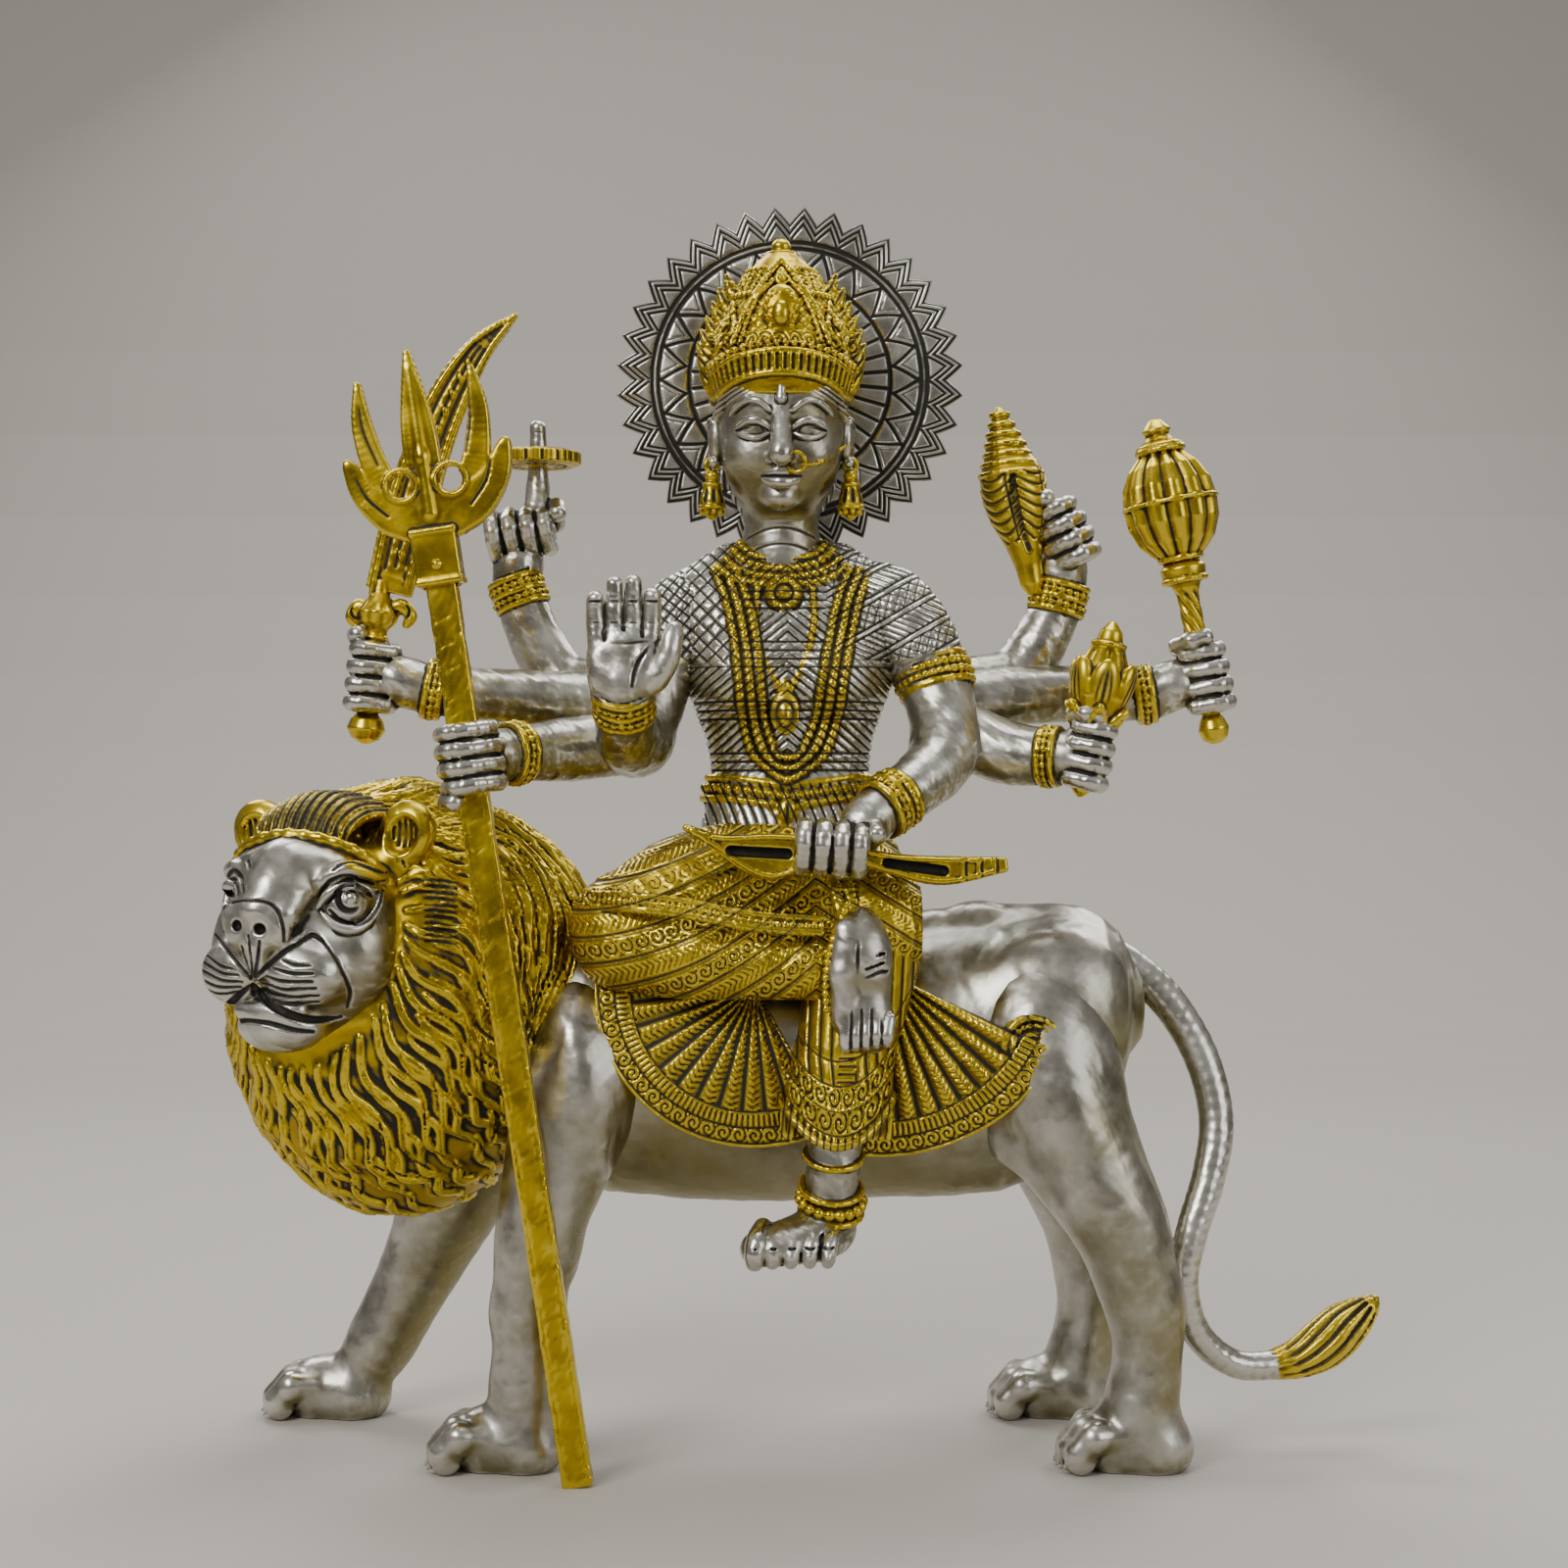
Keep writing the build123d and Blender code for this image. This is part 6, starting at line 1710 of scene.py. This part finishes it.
def make_mace():
    """Handle down, with a melon head."""
    clay = Clay((122, -24, 282), (190, 24, 428), 0.62)
    f = np.array([163, 0, 313.0])
    n = unit((-24.5, 0, 127))
    base = f - n * 27
    turned(clay, base, n,
           [(0, 2), (2, 5), (6, 6.4), (10, 5), (12, 3.6), (16, 4.6), (62, 4.6), (66, 6.0), (70, 9),
            (73, 9.4), (76, 6.5), (78, 8)],
           ribs=6, deep=1.0, rib_from=14, rib_to=64, twist=.14)
    turned(clay, base, n,
           [(76, 6), (79, 11), (84, 15.6), (92, 18.9), (100, 19.4), (108, 18.2), (115, 14.5), (120, 9.5),
            (122, 7)],
           ribs=12, deep=2.4, rib_from=76, rib_to=122)
    turned(clay, base, n,
           [(119, 6), (121, 9.6), (124, 9.6), (126, 6), (128, 4.6), (130, 6.0), (132, 4.5), (134.6, 2.2),
            (134.9, .6)])
    for h, r in ((121.8, 9.2), (68, 8.4), (77, 8.2)):
        clay.ring(base + n * h, n, r, 1.3)
    clay.ring(base + n * 100, n, 19.0, .9)
    clay.cast("mace_sculpt", GOLD, "mace")


def make_conch():
    clay = Clay((70, -12, 342), (118, 28, 434), 0.5)
    base = np.array([94.5, 8, 348.0])
    n = unit((-15, 1, 78))
    turned(clay, base, n,
           [(0, 2.5), (4, 4.8), (12, 5.6), (22, 8), (32, 12), (40, 13.6), (46, 13.8), (52, 12.4), (58, 9.6),
            (64, 7.6), (70, 5), (75, 3.2), (78.6, .8)])
    for k in range(7):
        h = 50 + k * 4.2
        clay.ring(base + n * h, unit(n + np.array((0.12, 0, 0))),
                  np.interp(h, [50, 58, 66, 75], [12.6, 9.2, 6.6, 3.2]), 1.25)
    side = unit(np.cross(n, (0, 1, 0.05)))
    clay.score([[*(base + n * 18 - side * 1 + np.array((0, -7.2, 0))), 1.1],
                [*(base + n * 34 + side * 2 + np.array((0, -12, 0))), 1.7],
               [*(base + n * 48 + side * 1 + np.array((0, -12.6, 0))), 1.1]], soft=1, turns=4)

    def veins(p):
        h, _, a = around(p, base, n)
        return np.maximum(groove((h + 5 * np.abs(np.sin(a * 2))) / 4.4, 0.24),
                          groove(a * 5 / np.pi / 2, 0.07)) * ((h > 22) & (h < 50))

    clay.relief(lambda p: -0.6 * veins(p))
    clay.cast("conch_sculpt", GOLD, "conch", dark=lambda p: .8 * veins(p))


def make_lotus():
    clay = Clay((90, -44, 242), (146, -8, 366), 0.55)
    n = unit((13, 0, 66))
    foot = np.array([112, -28, 281.5]) - n * 17
    turned(clay, foot, n,
           [(0, 1), (2, 3.4), (5, 4.6), (8, 3.4), (20, 3.5), (26, 5.2), (34, 9.6), (40, 12.2), (46, 12.4),
            (54, 9.4),
                           (59, 7.4), (63, 5.4), (67, 4.4), (71, 1)], ribs=6, deep=1.2, rib_from=28,
           rib_to=60)
    side = unit(np.cross((0, 1, 0), n))
    out = np.cross(n, side)
    for k in range(6):
        t = math.radians(60 * k + 30)
        w = side * math.cos(t) + out * math.sin(t)
        v = np.cross(n, w)
        up = unit(n + w * 0.24)
        c = foot + n * 44 + w * 9.3
        clay.egg(c, (3.9, 6.0, 11.6), soft=.6, axes=np.array([np.cross(v, up), v, up]))
        for o in (-2.6, 0, 2.6):
            q = c + w * 3.7 + v * o
            clay.score([[*(q - up * 7), .4], [*(q + w * .4), .55],
                        [*(q * .4 + (c + w * 3) * .6 + up * 9), .4]], soft=.4, turns=3)
        clay.rope([[*(foot + n * 30 + w * 8 + v * 3), 1.6], [*(foot + n * 36 + w * 12.4), 1.5],
                   [*(foot + n * 30 + w * 8 - v * 3), 1.6]], soft=.8, turns=3)
    for h, r in ((22.5, 4.3), (61.5, 6.2)):
        clay.ring(foot + n * h, n, r, 1.1)
    clay.cast("lotus_sculpt", GOLD, "lotus")


def make_bow():
    clay = Clay((-50, -66, 226), (80, -52, 260), 0.5)
    top = smooth([(-46, 254.5), (-33, 250.6), (-12, 251), (10, 249), (34, 243.2), (76, 241.8)], 10)
    low = smooth([(-46, 252), (-36, 246), (-14, 233.4), (10, 241.4), (30, 236.2), (52, 231.3), (76, 236.2)],
                 10)
    xs = np.linspace(-46, 76, 90)
    up = np.interp(xs, top[:, 0], top[:, 1])
    order = np.argsort(low[:, 0])
    down = np.interp(xs, low[order, 0], low[order, 1])
    for a, b, u0, u1, d0, d1 in zip(xs[:-1], xs[1:], up[:-1], up[1:], down[:-1], down[1:]):
        mid, half = (u0 + u1 + d0 + d1) / 4, max((u0 + u1 - d0 - d1) / 4, 1.3)
        tilt = math.degrees(math.atan2((u1 + d1 - u0 - d0) / 2, b - a))
        clay.slab(((a + b) / 2, -59, mid), ((b - a) / 2 + 1.4, 3.3, half), 1.2, soft=.4,
                  axes=axes_of(tip=-tilt))
    for (x, z), tilt in (((-18, 243.8), -3), ((42, 238.2), -8)):
        m = axes_of(tip=-tilt)
        w = m[0] * 10.8
        for y, soft in ((-66, 0), (-64, .4), (-62.4, .4), (-60.8, .4)):
            clay.score([(x - w[0], y, z - w[2], 2.0), (x + w[0], y, z + w[2], 2.0)], soft=soft)
    for line, off in ((top, -1.3), (low[order], 1.5)):
        for y in (-62.4, -55.7):
            row = [(x, y, z + off, .85) for x, z in line]
            clay.rope(row[2:-2], soft=.5)
    for x in (-43, -38, 60, 66, 72):
        z = (np.interp(x, xs, up) + np.interp(x, xs, down)) / 2
        h = (np.interp(x, xs, up) - np.interp(x, xs, down)) / 2
        clay.rope([(x, -62.4, z - h + .6, .8), (x, -62.4, z + h - .6, .8)], soft=.3)
        clay.score([(x + 1.5, -62.5, z - h + .6, .4), (x + 1.5, -62.5, z + h - .6, .4)], soft=.3)
    clay.relief(lambda p: 0.1 * noise(p, 4, 81))
    clay.cast("bow_sculpt", GOLD, "bow")


def make_discus():
    clay = Clay((-131, -10, 398), (-89, 34, 411), 0.42)
    c = np.array([-110, 12, 404.25])

    def disc(x, y, z):
        r = np.sqrt((x - c[0])**2 + (y - c[1])**2)
        a = np.arctan2(y - c[1], x - c[0])
        rim = 17.9 - 1.1 * np.clip(1 - np.abs(np.mod(a * 16 / (2 * np.pi), 1) - .5) * 2 / .3, 0, 1) + 0 * z
        thick = 3.05 - 0.7 * np.clip((r - 14.6) / 3, 0, 1) + 0.0 * z
        return np.maximum(np.maximum(r - rim, np.abs(z - c[2]) - thick), 3.85 - r)

    clay.blend(c - 20, c + 20, disc)
    for s in (-1, 1):
        clay.ring(c + (0, 0, s * 2.5), (0, 0, 1), 14.8, .75)
        clay.ring(c + (0, 0, s * 3.1), (0, 0, 1), 11.4, .5, cut=True, paint="ink")
        clay.ring(c + (0, 0, s * 2.5), (0, 0, 1), 6.2, .85)
        for t in np.linspace(0, 2 * math.pi, 16, endpoint=False):
            w = np.array([math.cos(t), math.sin(t), 0])
            clay.score([[*(c + w * 7.6 + (0, 0, s * 3.2)), .5], [*(c + w * 10.8 + (0, 0, s * 3.2)), .6]],
                       soft=.3)
    for t in np.linspace(0, 2 * math.pi, 32, endpoint=False):
        w = np.array([math.cos(t), math.sin(t), 0])
        clay.score([[*(c + w * 17.3 - (0, 0, 1.9)), .4], [*(c + w * 17.3 + (0, 0, 1.9)), .4]], soft=.3)
    clay.cast("discus_sculpt", GOLD, "chakra", body="discus")


def make_trident():
    lean = math.radians(8.6)
    up = np.array([-math.sin(lean), 0, math.cos(lean)])
    right = np.array([math.cos(lean), 0, math.sin(lean)])
    foot = np.array([-87.5, -58, 0.0])
    m = np.array([right, (0, 1, 0), up])

    def place(across, along, out=0.0):
        return foot + right * across + up * along + np.array([0, out, 0])

    clay = Clay((-150, -66, -2), (-78, -50, 368), 0.7)
    clay.slab(place(0, 180), (5.9, 3.9, 180), 1.0, axes=m)
    for s, y in ((-1, -3.9), (1, -3.9), (-1, 3.9), (1, 3.9)):
        clay.rope([[*place(s * 4.3, h, y), .3 + .25 * math.sin(h * .7 + s)] for h in range(9, 344, 7)],
                  soft=.6, cut=True)
    for h in np.arange(12, 340, 9.0) + rng.uniform(-3, 3, 37):
        for y in (-4, 4):
            w = rng.uniform(1.2, 3.4)
            q = rng.uniform(-2.5, 2.5)
            clay.rope([[*place(q - w, h - 1, y), .25], [*place(q + w, h + 1, y), .25]], soft=.5, cut=True)
    clay.relief(lambda p: 0.22 * noise(p, 9, 91) + 0.12 * noise(p, 3, 92))
    for h in (3, 6.4):
        clay.slab(place(0, h), (5.95, 3.95, 1.1), .4, soft=.2, axes=m)
    clay.flat(2, 0.05, above=False)
    clay.cast("trident_staff_sculpt", GOLD, "trident_staff", body="trident")

    clay = Clay((-192, -70, 340), (-108, -46, 446), 0.6)
    prongs = [[(8, 373, 5), (18, 379, 6.2), (27, 389, 5.0), (31, 398, 3), (32.6, 401.6, 1.2)],
              [(8, 372, 5), (17, 388, 5.6), (21.4, 400, 4.8), (24, 416, 3.6), (23.4, 430.6, 1.2)],
              [(0, 350, 7), (0, 370, 7.2), (0, 398, 6.8), (0, 410, 6.4), (0, 424, 4.4), (0, 440, 1.2)]]
    side = [(0, 378, 8), (9, 378, 7.4), (17, 381, 6.8), (25, 387, 5.2)]
    for s in (-1, 1):
        for path in prongs[:2] + [side]:
            line = smooth([(s * a * (0.88 if s < 0 else 1), h, r) for a, h, r in path], 6)
            for p, q in zip(line[:-1], line[1:]):
                a, b = place(p[0], p[1]), place(q[0], q[1])
                d = unit(b - a)
                clay.slab((a + b) / 2, (max((p[2] + q[2]) / 2, .6), 3.3, np.linalg.norm(b - a) / 2 + 1.5),
                          .9, soft=.8,
                          axes=np.array([np.cross((0, 1, 0), d), (0, 1, 0), d]))
    line = smooth(prongs[2], 6)
    for p, q in zip(line[:-1], line[1:]):
        a, b = place(p[0], p[1]), place(q[0], q[1])
        clay.slab((a + b) / 2, (max((p[2] + q[2]) / 2, .6), 3.3, np.linalg.norm(b - a) / 2 + 1.5), .9,
                  soft=.8, axes=m)
    clay.slab(place(0, 361), (8.8, 6.6, 11), 1.0, axes=m)
    for h in (351.6, 371.0):
        clay.slab(place(0, h), (9.2, 7.1, 1.25), .6, soft=.3, axes=m)
    for s in (-1, 1):
        for out in np.linspace(-9, 9, 7):
            clay.egg(place(s * 9.6, 390, out), (4.8, 3, 4.8), cut=True, paint="ink" if abs(out) > 3
                     else None)
        for face in (-3.5, 3.5):
            clay.ring(place(s * 9.7, 390, face), (0, 1, 0), 6.2, .8)
            clay.score([[*place(s * 16, 379, face), .4], [*place(s * 23, 387, face), .5],
                        [*place(s * 26, 395, face), .4]], soft=.4, turns=3)
            clay.score([[*place(s * 17, 399, face), .4], [*place(s * 20.6, 412, face), .5],
                        [*place(s * 21, 422, face), .4]], soft=.4, turns=3)
    for face in (-3.6, 3.6):
        clay.rope([[*place(0, 378, face * .8), 2.2], [*place(0, 400, face * .86), 1.8],
                   [*place(0, 434, face * .75), .8]], soft=2.5)
    clay.slab(place(0, 356), (6.35, 4.35, 10.4), .2, cut=True, axes=m)
    clay.cast("trident_head_sculpt", GOLD, "trident_head", body="trident")

    clay = Clay(place(0, 358) - (5, 11, 5), place(0, 358) + (5, 11, 5), 0.35)
    c = place(0, 358)
    clay.rope([(c[0], -65, c[2], 1.5), (c[0], -51, c[2], 1.5)], paint="gold")
    for s in (-1, 1):
        clay.egg((c[0], -58 + s * 7.2, c[2]), (2.2, 0.9, 2.2), soft=.3, paint="gold")
    clay.cast("trident_rivet_sculpt", PLAIN, "trident_rivet", body="trident")


def make_bolt():
    """The bolt that holds the goddess on, up inside the lion."""
    low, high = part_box("seat_bolt")
    a, b = np.array(low) / MM, np.array(high) / MM
    clay = Clay(a - 2, b + 2, 0.6)
    for k in range(3):
        clay.slab((8, 8, a[2] + 2.8), (5.6, 3.2, 2.7), .4, axes=axes_of(turn=60 * k))
    clay.rope([(8, 8, a[2] + 5, 3.9), (8, 8, b[2] - 4, 3.9)])
    for z in np.arange(b[2] - 48, b[2] - 5, 1.6):
        clay.ring((8, 8, z), (0.06, 0, 1), 4.1, .45, cut=True)
    clay.ring((8, 8, a[2] + .4), (0, 0, 1), 3.6, .35, cut=True)
    clay.cast("seat_bolt_sculpt", PLAIN, "seat_bolt")


def make_washer():
    low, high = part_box("seat_washer")
    a, b = np.array(low) / MM, np.array(high) / MM
    clay = Clay(a - 2, b + 2, 0.5)
    mid = (a[2] + b[2]) / 2

    def washer(x, y, z):
        r = np.sqrt((x - 8)**2 + (y - 8)**2)
        q = np.maximum(np.abs(r - 7.15) - 2.5, np.abs(z - mid) - .5)
        return q - .3 + 0.05 * np.sin(x * 3) * np.sin(y * 2.6)

    clay.blend(a, b, washer)
    clay.cast("seat_washer_sculpt", PLAIN, "seat_washer")


make_trunk()
make_legs()
make_tail()
make_mane()
make_lion_head()
make_torso()
make_face()
make_earrings()
make_crown()
make_halo()
make_screws()
make_arms()
make_lap()
make_folded_foot()
make_fans()
make_gown()
make_hanging_foot()
make_sword()
make_mace()
make_conch()
make_lotus()
make_bow()
make_discus()
make_trident()
make_bolt()
make_washer()
